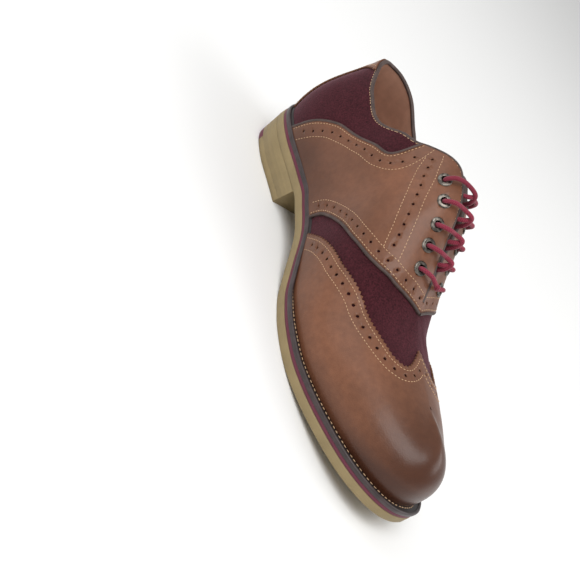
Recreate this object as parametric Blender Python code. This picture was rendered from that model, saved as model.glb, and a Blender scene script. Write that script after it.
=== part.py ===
"""Wingtip oxford, the left shoe of a pair, standing on its sole.

Metres, +Z up, the toe towards +X, the medial side towards -Y and the lateral side towards +Y.
Every piece is worked out from one last: an outline, a profile of the sole and a set of ribs that
rise from the feather edge to the top line.
"""
import math

import bpy
import bmesh
from mathutils import Vector

MM = 0.001

# Driving sizes of the sole
LENGTH = 306 * MM
BALL_WIDTH = 105 * MM
WAIST_WIDTH = 69 * MM
HEEL_WIDTH = 73 * MM
HEEL_HEIGHT = 17.5 * MM
TOE_SPRING = 12 * MM
OUTSOLE_THICKNESS = 6 * MM
OUTSOLE_CHAMFER = 0.8 * MM
MIDSOLE_THICKNESS = 1.8 * MM
MIDSOLE_INSET = 0.3 * MM
WELT_THICKNESS = 3 * MM
WELT_RIB_HEIGHT = 1.2 * MM
WELT_RIB_WIDTH = 1.8 * MM
WELT_MARGIN = 7 * MM
WELT_UNDER = 8 * MM
INSOLE_THICKNESS = 2.5 * MM

# Driving sizes of the heel
BREAST = 86.5 * MM
BREAST_SLANT = 4 * MM
BREAST_HOLLOW = 3 * MM
HEEL_INSET = 0.2 * MM
HEEL_TAPER = 2 * MM
TIP_LENGTH = 28 * MM
TIP_THICKNESS = 4.5 * MM

# Driving sizes of the upper, heights taken above the feather edge
COLLAR_HEIGHT = 65 * MM
ANKLE_HEIGHT = 56 * MM
INSTEP_HEIGHT = 98 * MM
THROAT_HEIGHT = 54 * MM
LATERAL_FALL = 5 * MM
TOE_BOX_HEIGHT = 34 * MM
THROAT_GAP = 13 * MM
UPPER_WALL = 2.2 * MM
OVERLAY_THICKNESS = 1.1 * MM
OVERLAY_FOOT = 0.03

# Trim sizes
BINDING_DIAMETER = 2.6 * MM
EYELETS_A_SIDE = 5
EYELET_INSET = 11.5 * MM
EYELET_FIRST = 4 * MM
EYELET_PITCH = 14.5 * MM
EYELET_FLANGE = 4.5 * MM
EYELET_BORE = 2.1 * MM
EYELET_BARREL = 2.8 * MM
EYELET_CROWN = 0.9 * MM
LACE_DIAMETER = 3 * MM
LACE_SEAT = LACE_DIAMETER * 0.28
LACE_RISE = 8.5 * MM
LACE_REACH = 0.75
TONGUE_THICKNESS = 2.5 * MM
TONGUE_BEYOND = 7 * MM

# Clearances
GAP = 0.3 * MM
SKIN_GAP = 0.45 * MM
TONGUE_GAP = 1.0 * MM
SOCK_GAP = 1.4 * MM

# Where the named places of the top line lie, in degrees along the last
FACING_BACK = 73
FACING_TOP = 83
THROAT = 110

MEDIAL = -1
LATERAL = 1

# Share of a rib past which the closed vamp counts as its ridge
RIDGE_SHARE = 0.95

# Degrees before the throat over which the ribs take up the slope of the ridge
RIDGE_BLEND = 8

WIDTHS = {"heel": HEEL_WIDTH, "waist": WAIST_WIDTH, "ball": BALL_WIDTH}

# Outline of the sole. Columns: degrees from heel back to toe tip, the width that the row follows,
# and how far the medial and lateral edges stand out from the centre line, as shares of that width.
OUTLINE = [
    (0, "heel", 0.0, 0.0),
    (15, "heel", 0.237, 0.227),
    (30, "heel", 0.425, 0.419),
    (45, "heel", 0.493, 0.497),
    (60, "heel", 0.452, 0.504),
    (75, "waist", 0.464, 0.533),
    (90, "waist", 0.628, 0.587),
    (105, "ball", 0.521, 0.453),
    (120, "ball", 0.524, 0.479),
    (135, "ball", 0.457, 0.416),
    (150, "ball", 0.349, 0.305),
    (165, "ball", 0.208, 0.162),
    (180, "ball", 0.043, -0.043),
]

# Underside of the sole. Columns: share of the length, share of the heel height, share of the spring.
PROFILE = [
    (0.00, 1.00, 0.00),
    (0.29, 1.00, 0.00),
    (0.33, 0.85, 0.00),
    (0.40, 0.64, 0.00),
    (0.48, 0.29, 0.00),
    (0.56, 0.00, 0.00),
    (0.70, 0.00, 0.00),
    (0.78, 0.00, 0.16),
    (0.86, 0.00, 0.42),
    (0.93, 0.00, 0.68),
    (1.00, 0.00, 1.00),
]

# How far the welt stands out past the feather edge. Columns: degrees, share of the welt margin.
MARGIN = [
    (0, 0.40),
    (50, 0.34),
    (80, 0.29),
    (110, 0.84),
    (135, 1.05),
    (180, 0.95),
]

HEIGHTS = {
    "collar": COLLAR_HEIGHT,
    "ankle": ANKLE_HEIGHT,
    "instep": INSTEP_HEIGHT,
    "throat": THROAT_HEIGHT,
    "toe": TOE_BOX_HEIGHT,
}

# Top line: collar, facing edge and ridge of the vamp. Columns: degrees, share of the length, half
# the opening as a share of the heel width, height row and share of it above the feather edge.
TOP_LINE = [
    (0, 0.021, 0.0, "collar", 1.00),
    (15, 0.040, 0.160, "collar", 1.01),
    (30, 0.081, 0.290, "collar", 0.97),
    (45, 0.150, 0.355, "ankle", 1.00),
    (58, 0.229, 0.345, "ankle", 0.985),
    (70, 0.307, 0.281, "ankle", 1.32),
    (83, 0.407, 0.085, "instep", 1.00),
    (90, 0.475, 0.068, "instep", 0.965),
    (101, 0.565, 0.044, "throat", 1.325),
    (110, 0.616, 0.0, "throat", 1.05),
    (120, 0.668, 0.0, "throat", 0.89),
    (135, 0.745, 0.0, "toe", 1.195),
    (150, 0.802, 0.0, "toe", 1.07),
    (165, 0.837, 0.0, "toe", 0.985),
    (180, 0.851, 0.0, "toe", 0.97),
]

# Fall of the lateral facing below the medial one: degrees, share of the fall
FALLS = [
    (0, 0.0),
    (68, 0.0),
    (83, 1.0),
    (90, 0.95),
    (100, 0.6),
    (110, 0.0),
    (180, 0.0),
]

# Swing of the ridge towards the medial side. Columns: degrees, share of the ball width.
SWING = [
    (0, 0.0),
    (83, 0.0),
    (112, 0.012),
    (135, 0.030),
    (180, 0.043),
]

# Shape of each rib between feather edge and top line. Columns: degrees, lean of the wall outward
# at its foot and reach back from the top line, as shares of the ball width, rise and drop of the
# same two handles as shares of the rib's height.
RIBS = [
    (0, 0.057, 0.008, 0.38, 0.34),
    (30, 0.066, 0.050, 0.41, 0.34),
    (45, 0.045, 0.035, 0.42, 0.34),
    (60, 0.045, 0.055, 0.42, 0.32),
    (75, 0.060, 0.115, 0.46, 0.16),
    (83, 0.060, 0.170, 0.50, 0.11),
    (90, 0.052, 0.200, 0.46, 0.10),
    (105, 0.033, 0.205, 0.40, 0.05),
    (120, 0.030, 0.244, 0.55, 0.02),
    (135, 0.026, 0.252, 0.66, 0.02),
    (150, 0.026, 0.216, 0.73, 0.02),
    (165, 0.032, 0.237, 0.84, 0.01),
    (180, 0.032, 0.216, 0.94, 0.00),
]

# Seams of the panels. Columns: share of the way up the rib, then degrees of the counter's edge,
# the saddle's rear and front edges and the wing's edge.
SEAMS = [
    (0.0, 25, 42.5, 74, 79.5),
    (0.1, 24.8, 44, 76.5, 84.5),
    (0.2, 24.3, 45.5, 83, 90),
    (0.3, 23.5, 47, 89, 95.5),
    (0.4, 22.5, 49, 93.5, 101),
    (0.5, 21.5, 51.5, 97.5, 108),
    (0.6, 20.6, 55.5, 101, 119),
    (0.7, 20, 67.5, 104.5, 128.5),
    (0.8, 21, 72, 107.3, 132.5),
    (0.9, 25.5, 72.6, 110.3, 132),
    (1.0, 32, FACING_BACK, 114, 129),
]

# Facets: steps around the sole, rows up the upper, columns of each band of panels
OUTLINE_STEPS = 36
RIB_ROWS = 10
COUNTER_COLUMNS = 4
QUARTER_COLUMNS = 4
COLLAR_COLUMNS = 4
FACING_COLUMNS = 7
BRIDGE_COLUMNS = 1
VAMP_COLUMNS = 2
WING_COLUMNS = 9

COLOURS = {
    "outsole": ((0.30, 0.23, 0.13), 0.6),
    "midsole": ((0.16, 0.025, 0.055), 0.5),
    "welt": ((0.030, 0.022, 0.020), 0.45),
    "heel": ((0.30, 0.23, 0.13), 0.6),
    "heel_tip": ((0.13, 0.025, 0.050), 0.6),
    "insole": ((0.27, 0.13, 0.08), 0.6),
    "upper": ((0.06, 0.012, 0.018), 0.95),
    "counter": ((0.24, 0.10, 0.055), 0.4),
    "saddle": ((0.24, 0.10, 0.055), 0.4),
    "wingtip": ((0.26, 0.11, 0.055), 0.35),
    "collar_binding": ((0.035, 0.020, 0.016), 0.5),
    "tongue": ((0.10, 0.05, 0.035), 0.5),
    "eyelet": ((0.12, 0.11, 0.10), 0.35),
    "lace": ((0.20, 0.02, 0.05), 0.8),
}


def clear_scene():
    for old in list(bpy.data.objects):
        bpy.data.objects.remove(old, do_unlink=True)


def material_for(obj, kind):
    colour, roughness = COLOURS[kind]
    material = bpy.data.materials.new(obj.name)
    material.use_nodes = True
    shader = material.node_tree.nodes["Principled BSDF"]
    shader.inputs["Base Color"].default_value = (*colour, 1)
    shader.inputs["Roughness"].default_value = roughness
    shader.inputs["Metallic"].default_value = 0.9 if kind == "eyelet" else 0.0
    obj.data.materials.append(material)


def slopes_of(xs, ys, monotone, level):
    """Slopes of a smooth curve through a column, which may be kept from overshooting and may be
    level at both ends."""
    last = len(xs) - 1
    chords = [(ys[i + 1] - ys[i]) / (xs[i + 1] - xs[i]) for i in range(last)]
    slopes = [chords[0]]
    for i in range(1, last):
        before = xs[i] - xs[i - 1]
        after = xs[i + 1] - xs[i]
        slope = (chords[i - 1] * after + chords[i] * before) / (before + after)
        if monotone and chords[i - 1] * chords[i] <= 0:
            slope = 0.0
        if monotone:
            limit = 3 * min(abs(chords[i - 1]), abs(chords[i]))
            slope = max(-limit, min(limit, slope))
        slopes.append(slope)
    slopes.append(chords[-1])
    if level:
        slopes[0] = slopes[-1] = 0.0
    return slopes


class Column:
    """One column of a table, read as a smooth curve over the table's first column."""

    def __init__(self, rows, values, monotone=False, level=False):
        self.xs = [row[0] for row in rows]
        self.ys = values
        self.slopes = slopes_of(self.xs, self.ys, monotone, level)

    def at(self, x):
        x = max(self.xs[0], min(self.xs[-1], x))
        i = 0
        while i < len(self.xs) - 2 and x > self.xs[i + 1]:
            i += 1
        step = self.xs[i + 1] - self.xs[i]
        t = (x - self.xs[i]) / step
        start = self.ys[i] * (1 + 2 * t) * (1 - t) ** 2 + self.slopes[i] * step * t * (1 - t) ** 2
        end = self.ys[i + 1] * t * t * (3 - 2 * t) + self.slopes[i + 1] * step * t * t * (t - 1)
        return start + end


HALF_WIDTH = {
    MEDIAL: Column(OUTLINE, [WIDTHS[row[1]] * row[2] for row in OUTLINE]),
    LATERAL: Column(OUTLINE, [WIDTHS[row[1]] * row[3] for row in OUTLINE]),
}
UNDERSIDE = Column(PROFILE, [HEEL_HEIGHT * row[1] + TOE_SPRING * row[2] for row in PROFILE], True)
STAND_OUT = Column(MARGIN, [WELT_MARGIN * row[1] for row in MARGIN], level=True)
TOP_ALONG = Column(TOP_LINE, [LENGTH * row[1] for row in TOP_LINE], level=True)
TOP_HEIGHT = Column(TOP_LINE, [HEIGHTS[row[3]] * row[4] for row in TOP_LINE], level=True)
TOP_SWING = Column(SWING, [BALL_WIDTH * row[1] for row in SWING], level=True)
LEAN = Column(RIBS, [BALL_WIDTH * row[1] for row in RIBS], level=True)
REACH = Column(RIBS, [BALL_WIDTH * row[2] for row in RIBS], level=True)
RISE = Column(RIBS, [row[3] for row in RIBS], level=True)
DROP = Column(RIBS, [row[4] for row in RIBS], level=True)
FALL = Column(FALLS, [LATERAL_FALL * row[1] for row in FALLS], True)
SEAM = [Column(SEAMS, [row[i] for row in SEAMS]) for i in range(1, 5)]


def opening_rows():
    """Half the opening at each row of the top line: heel width at the collar, gap at the throat."""
    halves = []
    for degrees, _, share, _, _ in TOP_LINE:
        if degrees < FACING_TOP:
            halves.append(HEEL_WIDTH * share)
        elif degrees < THROAT:
            halves.append(THROAT_GAP * 0.5 * (THROAT - degrees) / (THROAT - FACING_TOP) + GAP)
        else:
            halves.append(0.0)
    return halves


TOP_HALF = Column(TOP_LINE, opening_rows(), True)


def sole_edge(degrees, side):
    along = LENGTH * (1 - math.cos(math.radians(degrees))) / 2
    return Vector((along, side * HALF_WIDTH[side].at(degrees)))


def sole_outward(degrees, side):
    """Unit normal of the sole's edge, pointing out."""
    step = 0.25
    after = sole_edge(min(180, degrees + step), side)
    before = sole_edge(max(0, degrees - step), side)
    run = after - before
    if degrees <= 0:
        run = Vector((0, side))
    if degrees >= 180:
        run = Vector((0, -side))
    return Vector((-run.y, run.x)).normalized() * side


def inset_edge(degrees, side, inset):
    return sole_edge(degrees, side) - sole_outward(degrees, side) * inset


def feather_edge(degrees, side, inset=0.0):
    return inset_edge(degrees, side, STAND_OUT.at(degrees) + inset)


WIDEST = [max(HALF_WIDTH[side].at(degrees) for degrees in range(181)) for side in (MEDIAL, LATERAL)]
CENTRE = Vector((LENGTH / 2, (WIDEST[1] - WIDEST[0]) / 2, 0))

OUTSOLE_TOP = OUTSOLE_THICKNESS
MIDSOLE_TOP = OUTSOLE_TOP + GAP + MIDSOLE_THICKNESS
WELT_TOP = MIDSOLE_TOP + GAP + WELT_THICKNESS
UPPER_FOOT = WELT_TOP + GAP


def on_sole(point, lift):
    """A point of the plan, lifted above the underside of the sole and centred on the origin."""
    along = max(0.0, min(1.0, point.x / LENGTH))
    return Vector((point.x, point.y, UNDERSIDE.at(along) + lift)) - CENTRE


def foot_of_rib(degrees, side):
    return on_sole(feather_edge(degrees, side), UPPER_FOOT)


def top_of_rib(degrees, side):
    plan = Vector((TOP_ALONG.at(degrees), side * TOP_HALF.at(degrees) - TOP_SWING.at(degrees)))
    foot = on_sole(feather_edge(degrees, side), UPPER_FOOT)
    top = on_sole(plan, 0)
    fall = FALL.at(degrees) if side == LATERAL else 0.0
    return Vector((top.x, top.y, foot.z + TOP_HEIGHT.at(degrees) - fall))


def ridge_slope(degrees):
    """Rise over run of the closed ridge, so that both sides meet on it without a fold."""
    if degrees < THROAT - RIDGE_BLEND:
        return 0.0
    step = 1.0
    low = max(0, degrees - step)
    high = min(180, degrees + step)
    behind = top_of_rib(low, MEDIAL)
    ahead = top_of_rib(high, MEDIAL)
    share = min(1, (degrees - THROAT + RIDGE_BLEND) / RIDGE_BLEND)
    return share * (ahead.z - behind.z) / (ahead.x - behind.x)


def rib_point(degrees, side, share):
    """A point of the last's surface: a cubic curve from the feather edge up to the top line."""
    foot = foot_of_rib(degrees, side)
    top = top_of_rib(degrees, side)
    rise = top.z - foot.z
    outward = sole_outward(degrees, side).to_3d()
    level = Vector((foot.x - top.x, foot.y - top.y, 0)).normalized()
    low = foot + outward * LEAN.at(degrees) + Vector((0, 0, rise * RISE.at(degrees)))
    reach = REACH.at(degrees)
    high = top + level * reach - Vector((0, 0, rise * DROP.at(degrees)))
    high.z += ridge_slope(degrees) * level.x * reach
    rest = 1 - share
    curve = foot * rest ** 3 + low * 3 * share * rest ** 2 + high * 3 * share ** 2 * rest
    return curve + top * share ** 3


def rib_normal(degrees, side, share):
    """Unit normal of the last's surface, pointing out; on the ridge, the mean of both sides."""
    if share > RIDGE_SHARE and degrees >= THROAT:
        both = rib_normal(degrees, side, RIDGE_SHARE) + rib_normal(degrees, -side, RIDGE_SHARE)
        return both.normalized()
    step = 0.4
    up = rib_point(degrees, side, min(1, share + 0.02)) - rib_point(degrees, side, max(0, share - 0.02))
    ahead = rib_point(min(180, degrees + step), side, share)
    behind = rib_point(max(0, degrees - step), side, share)
    if degrees < step:
        behind = rib_point(step, -side, share)
    if degrees > 180 - step:
        ahead = rib_point(180 - step, -side, share)
    return up.cross(ahead - behind).normalized() * side


def spread(start, end, columns):
    return [start + (end - start) * i / columns for i in range(columns)]


def band_edges(share):
    """Degrees of the seams at one height: counter, saddle rear, facing top, throat, front, wing."""
    counter, rear, front, wing = (seam.at(share) for seam in SEAM)
    last_rear, last_front = SEAM[1].at(1), SEAM[2].at(1)
    corner = rear + (front - rear) * (FACING_TOP - last_rear) / (last_front - last_rear)
    throat = rear + (front - rear) * (THROAT - last_rear) / (last_front - last_rear)
    return [0, counter, rear, corner, throat, front, wing, 180]


BANDS = [
    COUNTER_COLUMNS,
    QUARTER_COLUMNS,
    COLLAR_COLUMNS,
    FACING_COLUMNS,
    BRIDGE_COLUMNS,
    VAMP_COLUMNS,
    WING_COLUMNS,
]


def columns_at(share):
    edges = band_edges(share)
    degrees = []
    for start, end, columns in zip(edges, edges[1:], BANDS):
        degrees += spread(start, end, columns)
    return degrees + [180]


def mesh_object(name, kind, bm, sheet=False):
    """An object of its own; a sheet keeps the side that its faces were given."""
    if not sheet:
        bmesh.ops.recalc_face_normals(bm, faces=bm.faces)
    mesh = bpy.data.meshes.new(name)
    bm.to_mesh(mesh)
    bm.free()
    mesh.shade_smooth()
    mesh.set_sharp_from_angle(angle=math.radians(40))
    obj = bpy.data.objects.new(name, mesh)
    bpy.context.scene.collection.objects.link(obj)
    material_for(obj, kind)
    return obj


def loop_solid(name, kind, loops, ring=False):
    """A solid whose skin joins loops of one length; a plain solid is capped, a ring is not."""
    bm = bmesh.new()
    rows = [[bm.verts.new(point) for point in loop] for loop in loops]
    count = len(rows[0])
    pairs = list(zip(rows, rows[1:])) + ([(rows[-1], rows[0])] if ring else [])
    for low, high in pairs:
        for i in range(count):
            j = (i + 1) % count
            bm.faces.new((low[i], low[j], high[j], high[i]))
    if not ring:
        cap_across(bm, rows[0])
        cap_across(bm, rows[-1])
    return mesh_object(name, kind, bm)


def cap_across(bm, loop):
    """Close a loop of the sole with strips that run from its medial to its lateral edge."""
    count = len(loop)
    half = count // 2
    for i in range(half):
        corners = [loop[i], loop[i + 1], loop[count - i - 1], loop[(count - i) % count]]
        bm.faces.new(list(dict.fromkeys(corners)))


def around_sole(place):
    """Points around the sole: up the medial edge from the heel and back down the lateral one."""
    angles = [180 * i / OUTLINE_STEPS for i in range(OUTLINE_STEPS + 1)]
    medial = [place(degrees, MEDIAL) for degrees in angles]
    lateral = [place(degrees, LATERAL) for degrees in angles[1:-1]]
    return medial + lateral[::-1]


def sole_loop(inset, lift):
    return around_sole(lambda degrees, side: on_sole(inset_edge(degrees, side, inset), lift))


def feather_loop(inset, lift):
    return around_sole(lambda degrees, side: on_sole(feather_edge(degrees, side, inset), lift))


def make_sole():
    loop_solid("outsole", "outsole", [
        sole_loop(OUTSOLE_CHAMFER, 0),
        sole_loop(0, OUTSOLE_CHAMFER),
        sole_loop(0, OUTSOLE_TOP),
    ])
    loop_solid("midsole", "midsole", [
        sole_loop(MIDSOLE_INSET, OUTSOLE_TOP + GAP),
        sole_loop(MIDSOLE_INSET, MIDSOLE_TOP),
    ])
    ledge = WELT_TOP - WELT_RIB_HEIGHT
    under = feather_loop(WELT_UNDER, MIDSOLE_TOP + GAP)
    loop_solid("welt", "welt", [
        under,
        sole_loop(0, MIDSOLE_TOP + GAP),
        sole_loop(0, ledge),
        sole_loop(WELT_RIB_WIDTH * 0.25, WELT_TOP),
        sole_loop(WELT_RIB_WIDTH, WELT_TOP),
        feather_loop(WELT_UNDER, WELT_TOP),
    ], ring=True)
    core = WELT_UNDER + GAP
    sock = UPPER_WALL + SOCK_GAP
    loop_solid("insole", "insole", [
        feather_loop(core, MIDSOLE_TOP + GAP),
        feather_loop(core, UPPER_FOOT),
        feather_loop(sock, UPPER_FOOT),
        feather_loop(sock, UPPER_FOOT + INSOLE_THICKNESS),
    ])


def degrees_at(along):
    return math.degrees(math.acos(1 - 2 * along / LENGTH))


def heel_loop(front, hollow, height):
    """The heel's outline at one height, tapered, with a straight or hollow front."""
    inset = HEEL_INSET + HEEL_TAPER * (1 - height / HEEL_HEIGHT)
    steps = 12
    last = degrees_at(front)
    medial = [inset_edge(last * i / steps, MEDIAL, inset) for i in range(steps + 1)]
    lateral = [inset_edge(last * i / steps, LATERAL, inset) for i in range(1, steps + 1)]
    start = medial[-1]
    end = lateral[-1]
    start.x = front
    end.x = front
    across = 6
    breast = []
    for i in range(1, across):
        share = i / across
        point = start.lerp(end, share)
        point.x -= hollow * math.sin(math.pi * share)
        breast.append(point)
    loop = medial + breast + lateral[::-1]
    return [Vector((point.x, point.y, height)) - CENTRE for point in loop]


def prism(name, kind, low, high):
    bm = bmesh.new()
    bottom = [bm.verts.new(point) for point in low]
    top = [bm.verts.new(point) for point in high]
    count = len(bottom)
    for i in range(count):
        j = (i + 1) % count
        bm.faces.new((bottom[i], bottom[j], top[j], top[i]))
    bm.faces.new(bottom)
    bm.faces.new(top)
    return mesh_object(name, kind, bm)


def cut(obj, cutter):
    modifier = obj.modifiers.new("Cut", "BOOLEAN")
    modifier.operation = "DIFFERENCE"
    modifier.solver = "EXACT"
    modifier.object = cutter
    cutter.hide_render = True
    cutter.display_type = "WIRE"


def make_heel():
    seat = HEEL_HEIGHT - GAP
    block = prism(
        "heel", "heel",
        heel_loop(BREAST - BREAST_SLANT, BREAST_HOLLOW, 0),
        heel_loop(BREAST, BREAST_HOLLOW, seat),
    )
    prism(
        "heel_tip", "heel_tip",
        heel_loop(TIP_LENGTH, 0, 0),
        heel_loop(TIP_LENGTH, 0, TIP_THICKNESS),
    )
    bm = bmesh.new()
    bmesh.ops.create_cube(bm, size=1)
    length = TIP_LENGTH * 2 + GAP * 2
    height = (TIP_THICKNESS + GAP) * 2
    bmesh.ops.scale(bm, verts=bm.verts, vec=(length, HEEL_WIDTH * 1.5, height))
    bmesh.ops.translate(bm, verts=bm.verts, vec=(-CENTRE.x, 0, 0))
    rebate = mesh_object("heel_rebate", "heel", bm)
    cut(block, rebate)


def panel(name, kind, first, last, lift):
    """A sheet of the last's surface between two bands, on both sides, lifted off it."""
    bm = bmesh.new()
    grids = {}
    starts = [sum(BANDS[:i]) for i in range(len(BANDS) + 1)]
    for side in (MEDIAL, LATERAL):
        grid = []
        for row in range(RIB_ROWS + 1):
            share = row / RIB_ROWS
            if lift and row == 0:
                share = OVERLAY_FOOT
            degrees = columns_at(share)[starts[first]:starts[last] + 1]
            places = [rib_point(d, side, share) + rib_normal(d, side, share) * lift for d in degrees]
            grid.append([bm.verts.new(place) for place in places])
        grids[side] = grid
        for low, high in zip(grid, grid[1:]):
            for i in range(len(low) - 1):
                corners = (low[i], low[i + 1], high[i + 1], high[i])
                bm.faces.new(corners if side == MEDIAL else corners[::-1])
    middle_verts = [vert for vert in bm.verts if on_middle(vert, grids, first, last)]
    bmesh.ops.remove_doubles(bm, verts=middle_verts, dist=0.05 * MM + lift)
    bmesh.ops.triangulate(bm, faces=bm.faces, quad_method="SHORT_EDGE")
    return mesh_object(name, kind, bm, sheet=True)


def on_middle(vert, grids, first, last):
    """Whether a vertex lies where the two sides meet: heel back, toe tip or ridge."""
    for side in (MEDIAL, LATERAL):
        grid = grids[side]
        if first == 0 and any(vert is row[0] for row in grid):
            return True
        if last == len(BANDS) and any(vert is row[-1] for row in grid):
            return True
        closed = sum(BANDS[:4]) - sum(BANDS[:first])
        if any(vert is top for top in grid[-1][max(0, closed):]):
            return True
    return False


def thicken(obj, thickness, outward):
    modifier = obj.modifiers.new("Wall", "SOLIDIFY")
    modifier.thickness = thickness
    modifier.offset = 1 if outward else -1
    modifier.use_rim = True


def facing_steps(side):
    """Points down the facing edge in small steps, as degrees and the length run so far."""
    run = 0.0
    degrees = float(FACING_TOP)
    steps = [(degrees, run)]
    step = 0.25
    while degrees < THROAT:
        here = rib_point(degrees, side, 1)
        run += (rib_point(degrees + step, side, 1) - here).length
        degrees += step
        steps.append((degrees, run))
    return steps


def eyelet_places(side):
    """Degrees and share of each eyelet, worked out along the facing edge and in from it."""
    steps = facing_steps(side)
    places = []
    for number in range(EYELETS_A_SIDE):
        wanted = EYELET_FIRST + EYELET_PITCH * number
        degrees = min(steps, key=lambda step: abs(step[1] - wanted))[0]
        share = 1.0
        while (rib_point(degrees, side, share) - rib_point(degrees, side, 1)).length < EYELET_INSET:
            share -= 0.005
        places.append((degrees, share))
    return places


def eyelet_frame(side, number):
    degrees, share = eyelet_places(side)[number]
    normal = rib_normal(degrees, side, share)
    surface = rib_point(degrees, side, share)
    return surface, normal


OVERLAY_TOP = SKIN_GAP + OVERLAY_THICKNESS


def make_holes():
    """One cutter with a short bar through the facing at each eyelet."""
    bm = bmesh.new()
    depth = (UPPER_WALL + OVERLAY_TOP) * 3
    for side in (MEDIAL, LATERAL):
        for number in range(EYELETS_A_SIDE):
            surface, normal = eyelet_frame(side, number)
            bar = bmesh.ops.create_cone(
                bm, cap_ends=True, segments=10, radius1=EYELET_BARREL + GAP,
                radius2=EYELET_BARREL + GAP, depth=depth)
            turn = normal.to_track_quat("Z", "Y").to_matrix()
            bmesh.ops.rotate(bm, verts=bar["verts"], matrix=turn)
            bmesh.ops.translate(bm, verts=bar["verts"], vec=surface)
    return mesh_object("eyelet_holes", "eyelet", bm)


def make_upper():
    holes = make_holes()
    upper = panel("upper", "upper", 0, len(BANDS), 0)
    thicken(upper, UPPER_WALL, outward=False)
    cut(upper, holes)
    counter = panel("counter", "counter", 0, 1, SKIN_GAP)
    thicken(counter, OVERLAY_THICKNESS, outward=True)
    saddle = panel("saddle", "saddle", 2, 5, SKIN_GAP)
    thicken(saddle, OVERLAY_THICKNESS, outward=True)
    cut(saddle, holes)
    wing = panel("wingtip", "wingtip", 6, 7, SKIN_GAP)
    thicken(wing, OVERLAY_THICKNESS, outward=True)


def make_eyelets():
    profile = [
        (EYELET_BORE, -UPPER_WALL - GAP),
        (EYELET_BARREL, -UPPER_WALL - GAP),
        (EYELET_BARREL, OVERLAY_TOP + GAP),
        (EYELET_FLANGE, OVERLAY_TOP + GAP),
        (EYELET_FLANGE * 0.8, OVERLAY_TOP + GAP + EYELET_CROWN),
        (EYELET_BORE, OVERLAY_TOP + GAP + EYELET_CROWN * 0.7),
    ]
    for side, label in ((MEDIAL, "medial"), (LATERAL, "lateral")):
        for number in range(EYELETS_A_SIDE):
            surface, normal = eyelet_frame(side, number)
            bm = bmesh.new()
            ring = [bm.verts.new((radius, 0, height)) for radius, height in profile]
            edges = [bm.edges.new((ring[i], ring[(i + 1) % len(ring)])) for i in range(len(ring))]
            bmesh.ops.spin(
                bm, geom=ring + edges, cent=(0, 0, 0), axis=(0, 0, 1),
                angle=math.tau, steps=10, use_merge=True)
            eyelet = mesh_object(f"eyelet_{label}_{number + 1}", "eyelet", bm)
            eyelet.rotation_mode = "QUATERNION"
            eyelet.rotation_quaternion = normal.to_track_quat("Z", "Y")
            eyelet.location = surface


def tube(name, kind, points, diameter, sides=2):
    curve = bpy.data.curves.new(name, "CURVE")
    curve.dimensions = "3D"
    curve.bevel_depth = diameter / 2
    curve.bevel_resolution = sides
    curve.use_fill_caps = True
    spline = curve.splines.new("POLY")
    spline.points.add(len(points) - 1)
    for target, point in zip(spline.points, points):
        target.co = (*point, 1)
    obj = bpy.data.objects.new(name, curve)
    bpy.context.scene.collection.objects.link(obj)
    material_for(obj, kind)
    return obj


def make_binding():
    """The bead that closes the top edge, from one facing corner round the collar to the other."""
    columns = columns_at(1)
    end = sum(BANDS[:3])
    halves = []
    lift = BINDING_DIAMETER / 2 + SKIN_GAP
    for side in (MEDIAL, LATERAL):
        points = []
        for degrees in columns[:end + 1]:
            top = rib_point(degrees, side, 1)
            up = (top - rib_point(degrees, side, 0.97)).normalized()
            points.append(top + up * lift - rib_normal(degrees, side, 1) * (UPPER_WALL / 2))
        halves.append(points)
    tube("collar_binding", "collar_binding", halves[0][::-1] + halves[1][1:], BINDING_DIAMETER, 1)


def lace_arc(start, end, up, steps=7):
    """A bar of lace between two eyelets, rising in an arc over the throat."""
    points = []
    for i in range(steps + 1):
        share = i / steps
        points.append(start.lerp(end, share) + up * LACE_RISE * math.sin(math.pi * share) ** 0.7)
    return points


def lace_start(side, number):
    surface, normal = eyelet_frame(side, number)
    return surface + normal * (OVERLAY_TOP + GAP * 2 + EYELET_CROWN + LACE_SEAT)


def lace_finish(side, number):
    """Where a lace from the other side meets this facing's edge, short of the next eyelet."""
    places = eyelet_places(side)
    here = places[number][0]
    degrees = here + (places[number + 1][0] - here) * LACE_REACH
    lift = OVERLAY_TOP + GAP + LACE_SEAT
    return rib_point(degrees, side, 1) + rib_normal(degrees, side, 1) * lift


def make_laces():
    last = EYELETS_A_SIDE - 1
    up = Vector((0.45, 0, 0.89))
    bar = lace_arc(lace_start(MEDIAL, last), lace_start(LATERAL, last), up)
    tube("lace_bar", "lace", bar, LACE_DIAMETER)
    for number in range(last):
        over = lace_arc(lace_start(MEDIAL, number), lace_finish(LATERAL, number), up)
        under = lace_arc(lace_start(LATERAL, number), lace_finish(MEDIAL, number), up)
        cross = tube(f"lace_cross_{number + 1}", "lace", over, LACE_DIAMETER)
        other = tube(f"lace_other_{number + 1}", "lace", under, LACE_DIAMETER)
        join_tubes(cross, other)


def join_tubes(first, second):
    """Make both tubes meshes and unite them, so that a crossing is one solid."""
    bodies = []
    for obj in (first, second):
        bm = bmesh.new()
        bm.from_mesh(obj.to_mesh())
        bmesh.ops.remove_doubles(bm, verts=bm.verts, dist=0.01 * MM)
        name = obj.name
        bpy.data.objects.remove(obj, do_unlink=True)
        bodies.append(mesh_object(name, "lace", bm))
    modifier = bodies[0].modifiers.new("Join", "BOOLEAN")
    modifier.operation = "UNION"
    modifier.solver = "EXACT"
    modifier.object = bodies[1]
    bodies[1].hide_render = True
    bodies[1].display_type = "WIRE"


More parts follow.
